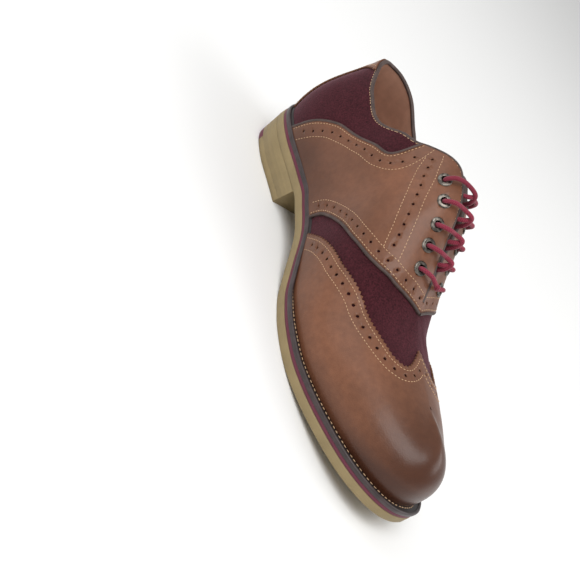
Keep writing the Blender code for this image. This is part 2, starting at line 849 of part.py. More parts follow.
def make_tongue():
    """A plate under the facings, bowed like them, that ends a little past their top."""
    depth = UPPER_WALL + TONGUE_GAP
    rows = []
    ends = (THROAT + 5, FACING_TOP + 2)
    steps = 8
    for row in range(steps + 1):
        degrees = ends[0] + (ends[1] - ends[0]) * row / steps
        low = 0.72 + 0.16 * row / steps
        section = {}
        for side in (MEDIAL, LATERAL):
            shares = [low, (low + 1) / 2, 1]
            section[side] = [
                rib_point(degrees, side, share) - rib_normal(degrees, side, share) * depth
                for share in shares]
        middle = (section[MEDIAL][-1] + section[LATERAL][-1]) / 2
        rows.append(section[MEDIAL][:2] + [middle] + section[LATERAL][1::-1])
    run = (rows[-1][2] - rows[-2][2]).normalized()
    top = []
    for place in rows[-1]:
        pulled = rows[-1][2].lerp(place, 0.4)
        top.append(pulled + run * TONGUE_BEYOND)
    rows.append(top)
    bm = bmesh.new()
    grid = [[bm.verts.new(point) for point in row] for row in rows]
    for low_row, high_row in zip(grid, grid[1:]):
        for i in range(len(low_row) - 1):
            bm.faces.new((low_row[i], low_row[i + 1], high_row[i + 1], high_row[i]))
    tongue = mesh_object("tongue", "tongue", bm, sheet=True)
    thicken(tongue, TONGUE_THICKNESS, outward=False)


def main():
    clear_scene()
    make_sole()
    make_heel()
    make_upper()
    make_tongue()
    make_eyelets()
    make_binding()
    make_laces()


main()
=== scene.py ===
"""Wingtip oxford: tan leather over burgundy suede on a welted rubber sole, on a pale floor."""
import math

import bmesh
import bpy
import numpy as np
from bpy.props import FloatProperty, FloatVectorProperty, PointerProperty
from mathutils import Matrix, Vector


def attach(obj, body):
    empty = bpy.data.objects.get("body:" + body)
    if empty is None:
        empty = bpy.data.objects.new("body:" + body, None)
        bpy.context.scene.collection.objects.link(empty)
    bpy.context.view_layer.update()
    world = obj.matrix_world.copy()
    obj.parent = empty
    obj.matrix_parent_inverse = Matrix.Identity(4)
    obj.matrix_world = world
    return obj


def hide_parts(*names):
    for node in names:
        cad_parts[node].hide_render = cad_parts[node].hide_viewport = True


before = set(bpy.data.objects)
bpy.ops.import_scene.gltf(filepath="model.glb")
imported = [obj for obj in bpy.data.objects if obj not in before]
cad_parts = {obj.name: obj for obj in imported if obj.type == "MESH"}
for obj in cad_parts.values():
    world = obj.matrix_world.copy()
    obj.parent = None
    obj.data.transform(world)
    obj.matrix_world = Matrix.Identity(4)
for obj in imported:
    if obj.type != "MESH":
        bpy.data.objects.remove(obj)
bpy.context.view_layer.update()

bl_info = {
    "name": "Wingtip Oxford",
    "version": (1, 0, 0),
    "blender": (4, 5, 0),
    "location": "View3D > Sidebar > Oxford",
    "description": "Dresses the shoe with its leather, suede, stitching, laces and sole",
    "category": "Object",
}

MM = 0.001

# Sizes of the last, the same as in the part's source
LENGTH = 306 * MM
BALL_WIDTH = 105 * MM
WAIST_WIDTH = 69 * MM
HEEL_WIDTH = 73 * MM
HEEL_HEIGHT = 17.5 * MM
TOE_SPRING = 12 * MM
OUTSOLE_THICKNESS = 6 * MM
MIDSOLE_THICKNESS = 1.8 * MM
MIDSOLE_INSET = 0.3 * MM
WELT_THICKNESS = 3 * MM
WELT_MARGIN = 7 * MM
WELT_UNDER = 8 * MM
INSOLE_THICKNESS = 2.5 * MM
BREAST = 86.5 * MM
BREAST_SLANT = 4 * MM
BREAST_HOLLOW = 3 * MM
HEEL_INSET = 0.2 * MM
HEEL_TAPER = 2 * MM
TIP_LENGTH = 28 * MM
TIP_THICKNESS = 4.5 * MM
COLLAR_HEIGHT = 65 * MM
ANKLE_HEIGHT = 56 * MM
INSTEP_HEIGHT = 98 * MM
THROAT_HEIGHT = 54 * MM
LATERAL_FALL = 5 * MM
TOE_BOX_HEIGHT = 34 * MM
THROAT_GAP = 13 * MM
UPPER_WALL = 2.2 * MM
EYELETS_A_SIDE = 5
EYELET_INSET = 11.5 * MM
EYELET_FIRST = 4 * MM
EYELET_PITCH = 14.5 * MM
GAP = 0.3 * MM

FACING_BACK = 73
FACING_TOP = 83
THROAT = 110
RIDGE_BLEND = 8
MEDIAL = -1
LATERAL = 1

WIDTHS = {"heel": HEEL_WIDTH, "waist": WAIST_WIDTH, "ball": BALL_WIDTH}
HEIGHTS = {
    "collar": COLLAR_HEIGHT,
    "ankle": ANKLE_HEIGHT,
    "instep": INSTEP_HEIGHT,
    "throat": THROAT_HEIGHT,
    "toe": TOE_BOX_HEIGHT,
}

# Outline of the sole: degrees from heel back to toe tip, width followed, medial and lateral shares
OUTLINE = [
    (0, "heel", 0.0, 0.0),
    (15, "heel", 0.237, 0.227),
    (30, "heel", 0.425, 0.419),
    (45, "heel", 0.493, 0.497),
    (60, "heel", 0.452, 0.504),
    (75, "waist", 0.464, 0.533),
    (90, "waist", 0.628, 0.587),
    (105, "ball", 0.521, 0.453),
    (120, "ball", 0.524, 0.479),
    (135, "ball", 0.457, 0.416),
    (150, "ball", 0.349, 0.305),
    (165, "ball", 0.208, 0.162),
    (180, "ball", 0.043, -0.043),
]

# Underside of the sole: share of the length, share of the heel height, share of the toe spring
PROFILE = [
    (0.00, 1.00, 0.00),
    (0.29, 1.00, 0.00),
    (0.33, 0.85, 0.00),
    (0.40, 0.64, 0.00),
    (0.48, 0.29, 0.00),
    (0.56, 0.00, 0.00),
    (0.70, 0.00, 0.00),
    (0.78, 0.00, 0.16),
    (0.86, 0.00, 0.42),
    (0.93, 0.00, 0.68),
    (1.00, 0.00, 1.00),
]

# How far the welt stands out past the feather edge: degrees, share of the welt margin
MARGIN = [
    (0, 0.40),
    (50, 0.34),
    (80, 0.29),
    (110, 0.84),
    (135, 1.05),
    (180, 0.95),
]

# Top line and ridge: degrees, share of the length, half opening, height row and share of it
TOP_LINE = [
    (0, 0.021, 0.0, "collar", 1.00),
    (15, 0.040, 0.160, "collar", 1.01),
    (30, 0.081, 0.290, "collar", 0.97),
    (45, 0.150, 0.355, "ankle", 1.00),
    (58, 0.229, 0.345, "ankle", 0.985),
    (70, 0.307, 0.281, "ankle", 1.32),
    (83, 0.407, 0.085, "instep", 1.00),
    (90, 0.475, 0.068, "instep", 0.965),
    (101, 0.565, 0.044, "throat", 1.325),
    (110, 0.616, 0.0, "throat", 1.05),
    (120, 0.668, 0.0, "throat", 0.89),
    (135, 0.745, 0.0, "toe", 1.195),
    (150, 0.802, 0.0, "toe", 1.07),
    (165, 0.837, 0.0, "toe", 0.985),
    (180, 0.851, 0.0, "toe", 0.97),
]

# Fall of the lateral facing below the medial one: degrees, share of the fall
FALLS = [
    (0, 0.0),
    (68, 0.0),
    (83, 1.0),
    (90, 0.95),
    (100, 0.6),
    (110, 0.0),
    (180, 0.0),
]

# Swing of the ridge towards the medial side: degrees, share of the ball width
SWING = [
    (0, 0.0),
    (83, 0.0),
    (112, 0.012),
    (135, 0.030),
    (180, 0.043),
]

# Shape of each rib: degrees, lean and reach as shares of the ball width, rise and drop of the rib
RIBS = [
    (0, 0.057, 0.008, 0.38, 0.34),
    (30, 0.066, 0.050, 0.41, 0.34),
    (45, 0.045, 0.035, 0.42, 0.34),
    (60, 0.045, 0.055, 0.42, 0.32),
    (75, 0.060, 0.115, 0.46, 0.16),
    (83, 0.060, 0.170, 0.50, 0.11),
    (90, 0.052, 0.200, 0.46, 0.10),
    (105, 0.033, 0.205, 0.40, 0.05),
    (120, 0.030, 0.244, 0.55, 0.02),
    (135, 0.026, 0.252, 0.66, 0.02),
    (150, 0.026, 0.216, 0.73, 0.02),
    (165, 0.032, 0.237, 0.84, 0.01),
    (180, 0.032, 0.216, 0.94, 0.00),
]

# Seams: share up the rib, then degrees of counter edge, saddle rear, saddle front and wing edge
SEAMS = [
    (0.0, 25, 42.5, 74, 79.5),
    (0.1, 24.0, 44, 76.5, 84.5),
    (0.2, 23.2, 45.5, 83, 90),
    (0.3, 22.2, 47, 89, 95.5),
    (0.4, 21.1, 49, 93.5, 101),
    (0.5, 20.0, 51.5, 97.5, 108),
    (0.6, 19.0, 55.5, 101, 119),
    (0.7, 18.6, 67.5, 104.5, 128.5),
    (0.8, 20.0, 72, 107.3, 132.5),
    (0.9, 25.5, 72.6, 110.3, 132),
    (1.0, 32, FACING_BACK, 114, 129),
]
COUNTER_EDGE, SADDLE_REAR, SADDLE_FRONT, WING_EDGE = range(4)

# Edges and rows as they are drawn on the leather: pairs of degrees and share up the rib
DRAWN_REAR = [
    (42, -0.02), (42.6, 0.0), (44, 0.08), (45.6, 0.2), (48, 0.34), (50.4, 0.46), (53.5, 0.58),
    (57.5, 0.65), (62, 0.682), (66, 0.69), (69.3, 0.69), (71.2, 0.71), (72.1, 0.77), (72.5, 0.86),
    (73, 1.0),
]
REAR_HOLES = [
    (46, 0.03), (48.5, 0.16), (50.5, 0.26), (52.2, 0.36), (54.6, 0.47), (58.5, 0.555), (63, 0.595),
    (69, 0.60), (72.5, 0.615), (74.4, 0.65), (75.3, 0.73), (75.2, 0.82), (74.8, 0.90),
]
REAR_STITCHES = [
    (48.6, 0.0), (50.2, 0.10), (52.2, 0.24), (55.3, 0.38), (60, 0.485), (64.5, 0.512),
    (68.5, 0.525), (72, 0.54), (75, 0.565), (76.6, 0.61), (77.1, 0.67), (76.9, 0.76),
    (76.3, 0.86), (75.6, 0.985),
]
FACING_STITCHES = (
    [(76.6, 0.84), (79, 0.70), (82, 0.61), (85, 0.57), (88, 0.55), (91, 0.54), (95.2, 0.53)],
    [(78, 0.96), (81, 0.82), (84, 0.75), (86.5, 0.71), (89, 0.69), (92, 0.68), (96.5, 0.67),
     (99.4, 0.655)],
)
FACING_HOLES = [
    (77, 0.90), (79.5, 0.77), (81.5, 0.70), (84, 0.66), (86.2, 0.64), (88.5, 0.625), (91, 0.61),
    (94, 0.60), (96.4, 0.59),
]

# The pieces of the upper run a little way down behind the welt
FOOT_SHARE = -0.02


def linear(code):
    """A colour written as an sRGB hex value, turned linear."""
    values = [int(code[i:i + 2], 16) / 255 for i in (1, 3, 5)]
    return tuple(v / 12.92 if v <= 0.04045 else ((v + 0.055) / 1.055) ** 2.4 for v in values)


def length_prop(name, description, millimetres):
    return FloatProperty(
        name=name, description=description, default=millimetres * MM,
        unit="LENGTH", subtype="DISTANCE", precision=5)


def colour_prop(name, description, code):
    return FloatVectorProperty(
        name=name, description=description, default=linear(code),
        subtype="COLOR", min=0, max=1)


class OxfordSizes(bpy.types.PropertyGroup):
    leather: length_prop("Leather", "Thickness of the leather laid over the suede", 1.25)
    stitch_pitch: length_prop("Stitch pitch", "Spacing of the stitches in a row", 2.2)
    stitch_length: length_prop("Stitch length", "Length of thread that shows in a stitch", 1.6)
    thread: length_prop("Thread", "Diameter of the sewing thread", 0.5)
    hole: length_prop("Perforation", "Diameter of the large punched holes", 2.1)
    hole_pitch: length_prop("Perforation pitch", "Spacing of the punched holes", 7.2)
    pink_pitch: length_prop("Pinking pitch", "Width of one tooth of a pinked edge", 2.9)
    pink_depth: length_prop("Pinking depth", "Depth of one tooth of a pinked edge", 1.3)
    piping: length_prop("Piping", "Diameter of the piping along the saddle", 2.3)
    binding: length_prop("Binding", "Diameter of the bound top edge", 2.6)
    eyelet: length_prop("Eyelet", "Outer diameter of an eyelet", 9.0)
    eyelet_bore: length_prop("Eyelet bore", "Inner diameter of an eyelet", 4.4)
    lace: length_prop("Lace", "Diameter of the round lace", 2.9)


class OxfordColours(bpy.types.PropertyGroup):
    leather: colour_prop("Leather", "Tan grain leather", "#754A33")
    # Also mixed in as painted shade in the hollow of the saddle's waist
    burnish_and_shade: colour_prop("Burnish", "Waxed, darkened leather at the toe", "#3F1F10")
    suede: colour_prop("Suede", "Burgundy suede", "#3D191F")
    binding: colour_prop("Binding", "Folded leather of binding and piping", "#4B3B36")
    lining: colour_prop("Lining", "Smooth lining leather", "#B28670")
    thread: colour_prop("Thread", "Waxed sewing thread", "#D8B189")
    lace: colour_prop("Lace", "Braided cotton lace", "#8A2E41")
    metal: colour_prop("Eyelets", "Darkened nickel", "#77716A")
    sole: colour_prop("Sole", "Crepe-coloured rubber", "#8F7D59")
    stripe: colour_prop("Stripe", "Rubber of midsole and heel tip", "#65293B")
    welt: colour_prop("Welt", "Edge-finished welt leather", "#3D3232")
    floor: colour_prop("Floor", "Pale studio floor", "#F6F6F5")


# The last, worked out for whole lists of places at once


def slopes_of(xs, ys, monotone, level):
    """Slopes of a smooth curve through a column, which may be kept from overshooting and may be
    level at both ends."""
    last = len(xs) - 1
    chords = [(ys[i + 1] - ys[i]) / (xs[i + 1] - xs[i]) for i in range(last)]
    slopes = [chords[0]]
    for i in range(1, last):
        before = xs[i] - xs[i - 1]
        after = xs[i + 1] - xs[i]
        slope = (chords[i - 1] * after + chords[i] * before) / (before + after)
        if monotone and chords[i - 1] * chords[i] <= 0:
            slope = 0.0
        if monotone:
            limit = 3 * min(abs(chords[i - 1]), abs(chords[i]))
            slope = max(-limit, min(limit, slope))
        slopes.append(slope)
    slopes.append(chords[-1])
    if level:
        slopes[0] = slopes[-1] = 0.0
    return slopes


def column(rows, values, monotone=False, level=False):
    """A smooth curve over the first column of a table, as a function."""
    xs = np.array([row[0] for row in rows], float)
    ys = np.array(values, float)
    slopes = np.array(slopes_of(xs, ys, monotone, level))

    def at(x):
        x = np.clip(x, xs[0], xs[-1])
        i = np.clip(np.searchsorted(xs, x, side="right") - 1, 0, len(xs) - 2)
        step = xs[i + 1] - xs[i]
        t = (x - xs[i]) / step
        start = ys[i] * (1 + 2 * t) * (1 - t) ** 2 + slopes[i] * step * t * (1 - t) ** 2
        end = ys[i + 1] * t * t * (3 - 2 * t) + slopes[i + 1] * step * t * t * (t - 1)
        return start + end

    return at


def opening_rows():
    halves = []
    for degrees, _, share, _, _ in TOP_LINE:
        if degrees < FACING_TOP:
            halves.append(HEEL_WIDTH * share)
        elif degrees < THROAT:
            halves.append(THROAT_GAP * 0.5 * (THROAT - degrees) / (THROAT - FACING_TOP) + GAP)
        else:
            halves.append(0.0)
    return halves


MEDIAL_HALF = column(OUTLINE, [WIDTHS[row[1]] * row[2] for row in OUTLINE])
LATERAL_HALF = column(OUTLINE, [WIDTHS[row[1]] * row[3] for row in OUTLINE])
UNDERSIDE = column(PROFILE, [HEEL_HEIGHT * row[1] + TOE_SPRING * row[2] for row in PROFILE], True)
STAND_OUT = column(MARGIN, [WELT_MARGIN * row[1] for row in MARGIN], level=True)
TOP_ALONG = column(TOP_LINE, [LENGTH * row[1] for row in TOP_LINE], level=True)
TOP_HEIGHT = column(TOP_LINE, [HEIGHTS[row[3]] * row[4] for row in TOP_LINE], level=True)
TOP_HALF = column(TOP_LINE, opening_rows(), True)
TOP_SWING = column(SWING, [BALL_WIDTH * row[1] for row in SWING], level=True)
LEAN = column(RIBS, [BALL_WIDTH * row[1] for row in RIBS], level=True)
REACH = column(RIBS, [BALL_WIDTH * row[2] for row in RIBS], level=True)
RISE = column(RIBS, [row[3] for row in RIBS], level=True)
DROP = column(RIBS, [row[4] for row in RIBS], level=True)
FALL = column(FALLS, [LATERAL_FALL * row[1] for row in FALLS], True)
SEAM = [column(SEAMS, [row[i] for row in SEAMS]) for i in range(1, 5)]

WHOLE_DEGREES = np.arange(181)
CENTRE = np.array([
    LENGTH / 2,
    (LATERAL_HALF(WHOLE_DEGREES).max() - MEDIAL_HALF(WHOLE_DEGREES).max()) / 2,
    0,
])
OUTSOLE_TOP = OUTSOLE_THICKNESS
MIDSOLE_TOP = OUTSOLE_TOP + GAP + MIDSOLE_THICKNESS
WELT_TOP = MIDSOLE_TOP + GAP + WELT_THICKNESS
UPPER_FOOT = WELT_TOP + GAP


def unit(vectors):
    return vectors / np.maximum(np.linalg.norm(vectors, axis=-1, keepdims=True), 1e-12)


def wrapped(turn):
    """Degrees round the shoe from -180 to 180: negative is medial, 0 the heel back, 180 the toe."""
    turn = np.asarray(turn, float)
    return np.where(np.abs(turn) > 180, (turn + 180) % 360 - 180, turn)


def sole_edge(turn):
    degrees = np.abs(turn)
    along = LENGTH * (1 - np.cos(np.radians(degrees))) / 2
    half = np.where(turn < 0, -MEDIAL_HALF(degrees), LATERAL_HALF(degrees))
    return np.stack([along, half], -1)


def sole_outward(turn):
    """Unit normal of the sole's edge, pointing out."""
    side = np.where(turn < 0, -1.0, 1.0)
    degrees = np.abs(turn)
    after = sole_edge(side * np.minimum(180, degrees + 0.25))
    before = sole_edge(side * np.maximum(1e-9, degrees - 0.25))
    run = after - before
    ends = np.stack([np.zeros_like(side), np.where(degrees > 90, -side, side)], -1)
    run = np.where(((degrees <= 0) | (degrees >= 179.999))[..., None], ends, run)
    return unit(np.stack([-run[..., 1], run[..., 0]], -1)) * side[..., None]


def inset_edge(turn, inset):
    turn = np.asarray(turn, float)
    inset = np.broadcast_to(inset, turn.shape)
    return sole_edge(turn) - sole_outward(turn) * inset[..., None]


def feather_edge(turn, inset=0.0):
    return inset_edge(turn, STAND_OUT(np.abs(turn)) + inset)


def on_sole(plan, lift):
    """Places of the plan, lifted above the underside of the sole, centred on the origin."""
    along = np.clip(plan[..., 0] / LENGTH, 0, 1)
    height = UNDERSIDE(along) + lift
    return np.stack([plan[..., 0], plan[..., 1], height], -1) - CENTRE


def top_of_rib(turn):
    side = np.where(turn < 0, -1.0, 1.0)
    degrees = np.abs(turn)
    foot = on_sole(feather_edge(turn), UPPER_FOOT)
    plan = np.stack([TOP_ALONG(degrees), side * TOP_HALF(degrees) - TOP_SWING(degrees)], -1)
    top = on_sole(plan, 0)
    top[..., 2] = foot[..., 2] + TOP_HEIGHT(degrees) - np.where(side > 0, FALL(degrees), 0)
    return foot, top


def ridge_slope(degrees):
    """Rise over run of the closed ridge, so that both sides meet on it without a fold."""
    behind = top_of_rib(-np.maximum(1e-9, degrees - 1))[1]
    ahead = top_of_rib(-np.minimum(180, degrees + 1))[1]
    share = np.clip((degrees - THROAT + RIDGE_BLEND) / RIDGE_BLEND, 0, 1)
    return share * (ahead - behind)[..., 2] / (ahead - behind)[..., 0]


def rib_point(turn, share):
    """A place on the last: a cubic curve from the feather edge up to the top line."""
    turn = wrapped(turn)
    share = np.asarray(share, float)
    degrees = np.abs(turn)
    foot, top = top_of_rib(turn)
    rise = (top - foot)[..., 2]
    flat = np.zeros_like(rise)
    outward = np.concatenate([sole_outward(turn), flat[..., None]], -1)
    level = foot - top
    level[..., 2] = 0
    level = unit(level)
    upward = np.array([0.0, 0.0, 1.0])
    low = foot + outward * LEAN(degrees)[..., None] + upward * (rise * RISE(degrees))[..., None]
    reach = REACH(degrees)
    fall = rise * DROP(degrees) - ridge_slope(degrees) * level[..., 0] * reach
    high = top + level * reach[..., None] - upward * fall[..., None]
    s = share[..., None]
    rest = 1 - s
    return foot * rest ** 3 + low * 3 * s * rest ** 2 + high * 3 * s ** 2 * rest + top * s ** 3


def run_along(places):
    """Distance along a row of places up to each of them."""
    return np.concatenate([[0], np.cumsum(np.linalg.norm(np.diff(places, axis=0), axis=1))])


def smooth_step(low, high, value):
    t = np.clip((value - low) / (high - low), 0, 1)
    return t * t * (3 - 2 * t)


def own_normal(turn, share):
    step = 0.4
    up = rib_point(turn, np.minimum(1, share + 0.02)) - rib_point(turn, share - 0.02)
    across = rib_point(turn + step, share) - rib_point(turn - step, share)
    return unit(np.cross(up, across))


def rib_normal(turn, share):
    """Unit normal of the last, pointing out; both sides are blended towards the closed ridge."""
    turn = np.asarray(turn, float)
    share = np.asarray(share, float)
    low = np.minimum(share, 0.975)
    own = own_normal(turn, low)
    weight = smooth_step(0.82, 1.0, share) * smooth_step(THROAT - 3, THROAT + 3, np.abs(turn))
    other = own_normal(-turn, low)
    half = (weight / 2)[..., None]
    return unit(own * (1 - half) + other * half)


# Soft troughs and ridges that wear and lasting leave: turn, share, half length and half width in
# degrees and shares, slant, and height
CREASES = [
    (-58, 0.30, 13, 0.10, 0.010, -1.1),
    (58, 0.30, 13, 0.10, 0.010, -0.9),
    (-70, 0.20, 7, 0.035, 0.016, -0.45),
    (-74, 0.29, 8, 0.030, 0.014, 0.35),
    (-121, 0.86, 7, 0.05, -0.012, -0.35),
    (-126, 0.66, 6, 0.05, -0.020, -0.30),
    (121, 0.86, 7, 0.05, -0.012, -0.35),
    (126, 0.62, 6, 0.05, -0.020, -0.30),
    (-106, 0.42, 7, 0.035, 0.025, -0.35),
    (-35, 0.62, 9, 0.06, 0.006, -0.5),
    (36, 0.60, 9, 0.06, 0.006, -0.5),
]


def crease_height(turn, share):
    height = np.zeros(np.broadcast(turn, share).shape)
    for place, level, half_length, half_width, slant, rise in CREASES:
        along = (turn - place) / half_length
        drift = share - level - slant * (turn - place) * np.sign(place)
        height = height + rise * MM * np.exp(-along ** 2 - (drift / half_width) ** 2)
    return height


def on_last(turn, share, lift):
    turn = np.asarray(turn, float)
    share = np.asarray(share, float)
    rise = crease_height(turn, share) + lift
    return rib_point(turn, share) + rib_normal(turn, share) * rise[..., None]


def walk(turn, share, step):
    """Move places over the last by real distances, given as vectors in metres."""
    low = np.clip(share, 0.0, 0.975)
    along = (rib_point(turn + 0.2, low) - rib_point(turn - 0.2, low)) / 0.4
    up = (rib_point(turn, low + 0.01) - rib_point(turn, low - 0.01)) / 0.02
    aa = (along * along).sum(-1)
    uu = (up * up).sum(-1)
    au = (along * up).sum(-1)
    sa = (step * along).sum(-1)
    su = (step * up).sum(-1)
    spread = aa * uu - au * au
    return turn + (sa * uu - su * au) / spread, share + (su * aa - sa * au) / spread


class Seam:
    """A curve drawn on the last, kept as turns and shares in small even steps."""

    def __init__(self, turns, shares):
        turns = np.asarray(turns, float)
        shares = np.asarray(shares, float)
        places = rib_point(turns, shares)
        run = run_along(places)
        self.length = run[-1]
        even = np.linspace(0, self.length, max(8, int(self.length / (0.5 * MM))))
        self.run = even
        self.turns = np.interp(even, run, turns)
        self.shares = np.interp(even, run, shares)

    def at(self, run):
        return np.interp(run, self.run, self.turns), np.interp(run, self.run, self.shares)

    def frame_at(self, run):
        """Turns, shares, tangents and normals at distances along the curve."""
        run = np.asarray(run, float)
        turn, share = self.at(run)
        step = 0.8 * MM
        ahead = rib_point(*self.at(np.minimum(run + step, self.length)))
        behind = rib_point(*self.at(np.maximum(run - step, 0)))
        tangent = unit(ahead - behind)
        return turn, share, tangent, rib_normal(turn, share)

    def beside(self, distance):
        """The curve at a distance to the left of this one, seen from outside."""
        turn, share, tangent, normal = self.frame_at(self.run)
        return Seam(*walk(turn, share, np.cross(normal, tangent) * distance))

    def part(self, low, high):
        """The longest stretch of the curve between two shares."""
        flags = (self.shares > low) & (self.shares < high)
        best, start = (0, 0), None
        for i, flag in enumerate(list(flags) + [False]):
            if flag and start is None:
                start = i
            if not flag and start is not None:
                best = max(best, (start, i), key=lambda pair: pair[1] - pair[0])
                start = None
        return Seam(self.turns[best[0]:best[1]], self.shares[best[0]:best[1]])

    def even_runs(self, pitch, inset=0.0):
        count = max(1, int((self.length - 2 * inset) / pitch))
        return inset + (np.arange(count) + 0.5) * (self.length - 2 * inset) / count


def rounded_path(points, steps=10):
    """A smooth curve through a few points."""
    points = np.asarray(points, float)
    ends = [2 * points[0] - points[1]], [2 * points[-1] - points[-2]]
    guide = np.concatenate([ends[0], points, ends[1]])
    path = []
    for a, b, c, d in zip(guide, guide[1:], guide[2:], guide[3:]):
        t = np.linspace(0, 1, steps, endpoint=False)[:, None]
        path.append(0.5 * (2 * b + (c - a) * t + (2 * a - 5 * b + 4 * c - d) * t ** 2
                           + (3 * b - a - 3 * c + d) * t ** 3))
    return np.concatenate(path + [points[-1:]])


def drawn(points, side):
    """A smooth curve through pairs of degrees and share, on one side of the shoe."""
    path = rounded_path(np.array(points, float) * (0.01, 1), 16)
    return Seam(side * path[:, 0] * 100, path[:, 1])


def seam_curve(which, side, low=FOOT_SHARE):
    if which == SADDLE_REAR:
        return drawn(DRAWN_REAR, side)
    shares = np.linspace(low, 1.0, 240)
    return Seam(side * SEAM[which](shares), shares)


def pinked(seam, pitch, depth):
    """The curve as a saw-toothed outline, its ends left where they are."""
    teeth = max(2, round(seam.length / pitch))
    run = np.linspace(0, seam.length, teeth * 2 + 1)
    turn, share, tangent, normal = seam.frame_at(run)
    sway = np.where(np.arange(len(run)) % 2 == 1, 0.5, -0.5) * depth
    sway[0] = sway[-1] = 0
    turn, share = walk(turn, share, np.cross(normal, tangent) * sway[:, None])
    share[0], share[-1] = seam.shares[0], seam.shares[-1]
    return list(zip(turn, share))


def punched(turn, share, diameter, corners=10):
    """A round hole round each place, as an outline of turns and shares."""
    normal = rib_normal(turn, share)
    first = unit(np.cross(normal, np.array([0.3, 0.2, 0.93])))
    second = np.cross(normal, first)
    holes = []
    for i in range(len(turn)):
        angles = np.linspace(0, math.tau, corners, endpoint=False)
        step = first[i] * np.cos(angles)[:, None] + second[i] * np.sin(angles)[:, None]
        turns = np.full(corners, turn[i])
        shares = np.full(corners, share[i])
        holes.append(list(zip(*walk(turns, shares, step * diameter / 2))))
    return holes


def eyelet_places(side):
    """Turn and share of each eyelet, worked out along the facing edge and in from it."""
    degrees = np.arange(FACING_TOP, THROAT + 0.1, 0.25)
    edge = rib_point(side * degrees, np.ones_like(degrees))
    run = run_along(edge)
    turns, shares = [], []
    for number in range(EYELETS_A_SIDE):
        i = int(np.argmin(np.abs(run - EYELET_FIRST - EYELET_PITCH * number)))
        steps = 1 - 0.005 * np.arange(100)
        reach = np.linalg.norm(rib_point(np.full(100, side * degrees[i]), steps) - edge[i], axis=1)
        turns.append(side * degrees[i])
        shares.append(steps[int(np.argmax(reach >= EYELET_INSET))])
    return np.array(turns), np.array(shares)


# Materials


def new_material(name):
    material = bpy.data.materials.new(name)
    material.use_nodes = True
    material.node_tree.nodes.clear()
    return material, material.node_tree


def add(tree, kind, settings=None, **links):
    """A node with its settings, and with links into its sockets, named with underscores."""
    node = tree.nodes.new(kind)
    for key, value in (settings or {}).items():
        if hasattr(node, key):
            setattr(node, key, value)
        else:
            node.inputs[key].default_value = value
    for key, source in links.items():
        name = key.replace("_", " ")
        target = node.inputs[int(key[1:])] if key[1:].isdigit() else node.inputs[name]
        tree.links.new(source, target)
    return node


def finish_material(tree, settings, **links):
    shader = add(tree, "ShaderNodeBsdfPrincipled", settings, **links)
    add(tree, "ShaderNodeOutputMaterial", Surface=shader.outputs[0])


def shade(colour, factor=1.0):
    return tuple(min(1, c * factor) for c in colour) + (1,)


def object_place(tree):
    return add(tree, "ShaderNodeTexCoord").outputs["Object"]


def noise(tree, place, scale, detail, roughness=0.5):
    settings = {"Scale": scale, "Detail": detail, "Roughness": roughness}
    return add(tree, "ShaderNodeTexNoise", settings, Vector=place).outputs[0]


def ramp(tree, value, low, high, places=(0.0, 1.0)):
    """Colours from low to high, picked by a value."""
    node = add(tree, "ShaderNodeValToRGB", Fac=value)
    for stop, place, colour in zip(node.color_ramp.elements, places, (low, high)):
        stop.position = place
        stop.color = colour
    return node.outputs[0]


def tones(tree, value, colour, low, high, places=(0.0, 1.0)):
    """Lighter and darker shades of one colour, picked by a value."""
    return ramp(tree, value, shade(colour, low), shade(colour, high), places)


def blend(tree, kind, factor, first, second):
    node = add(
        tree, "ShaderNodeMix", {"data_type": "RGBA", "blend_type": kind}, i6=first, i7=second)
    node.inputs[0].default_value = factor
    return node.outputs[2]


def bump(tree, height, strength, distance, **links):
    settings = {"Strength": strength, "Distance": distance}
    return add(tree, "ShaderNodeBump", settings, Height=height, **links).outputs[0]


def grain_leather(name, colours):
    """Tan calf leather, drum dyed and waxed: fine pebbled grain, cloudy colour, soft gloss,
    burnished darker at the toe and along the welt, and darkened with painted shade in the hollow of
    the waist."""
    material, tree = new_material(name)
    place = object_place(tree)
    cloud = noise(tree, place, 22, 5, 0.55)
    fine = noise(tree, place, 260, 4, 0.6)
    grain = add(
        tree, "ShaderNodeTexVoronoi", {"feature": "SMOOTH_F1", "Scale": 1500}, Vector=place)
    tone = tones(tree, cloud, colours.leather, 0.74, 1.16, (0.32, 0.70))
    mottle = blend(tree, "SOFT_LIGHT", 0.35, tone, fine)
    burnish_and_shade = add(tree, "ShaderNodeAttribute", {"attribute_name": "burnish_and_shade"}).outputs["Fac"]
    # The burnish colour is mixed in where the leather is burnished, and as painted shade in the
    # waist hollow
    dark = add(tree, "ShaderNodeMix", {"data_type": "RGBA"}, i0=burnish_and_shade, i6=mottle)
    dark.inputs[7].default_value = shade(colours.burnish_and_shade)
    rough = add(tree, "ShaderNodeMapRange", {"To Min": 0.36, "To Max": 0.50}, Value=cloud)
    # Burnished leather, and the painted shade in the waist hollow with it, is the glossier
    shine = add(
        tree, "ShaderNodeMath", {"operation": "MULTIPLY_ADD"}, i0=burnish_and_shade, i2=rough.outputs[0])
    shine.inputs[1].default_value = -0.10
    pores = bump(tree, grain.outputs[0], 0.16, 0.3 * MM)
    waves = bump(tree, fine, 0.20, 0.5 * MM, Normal=pores)
    finish_material(
        tree, {"Coat Weight": 0.10, "Coat Roughness": 0.16, "Specular IOR Level": 0.34},
        Base_Color=dark.outputs[2], Roughness=shine.outputs[0], Normal=waves)
    return material


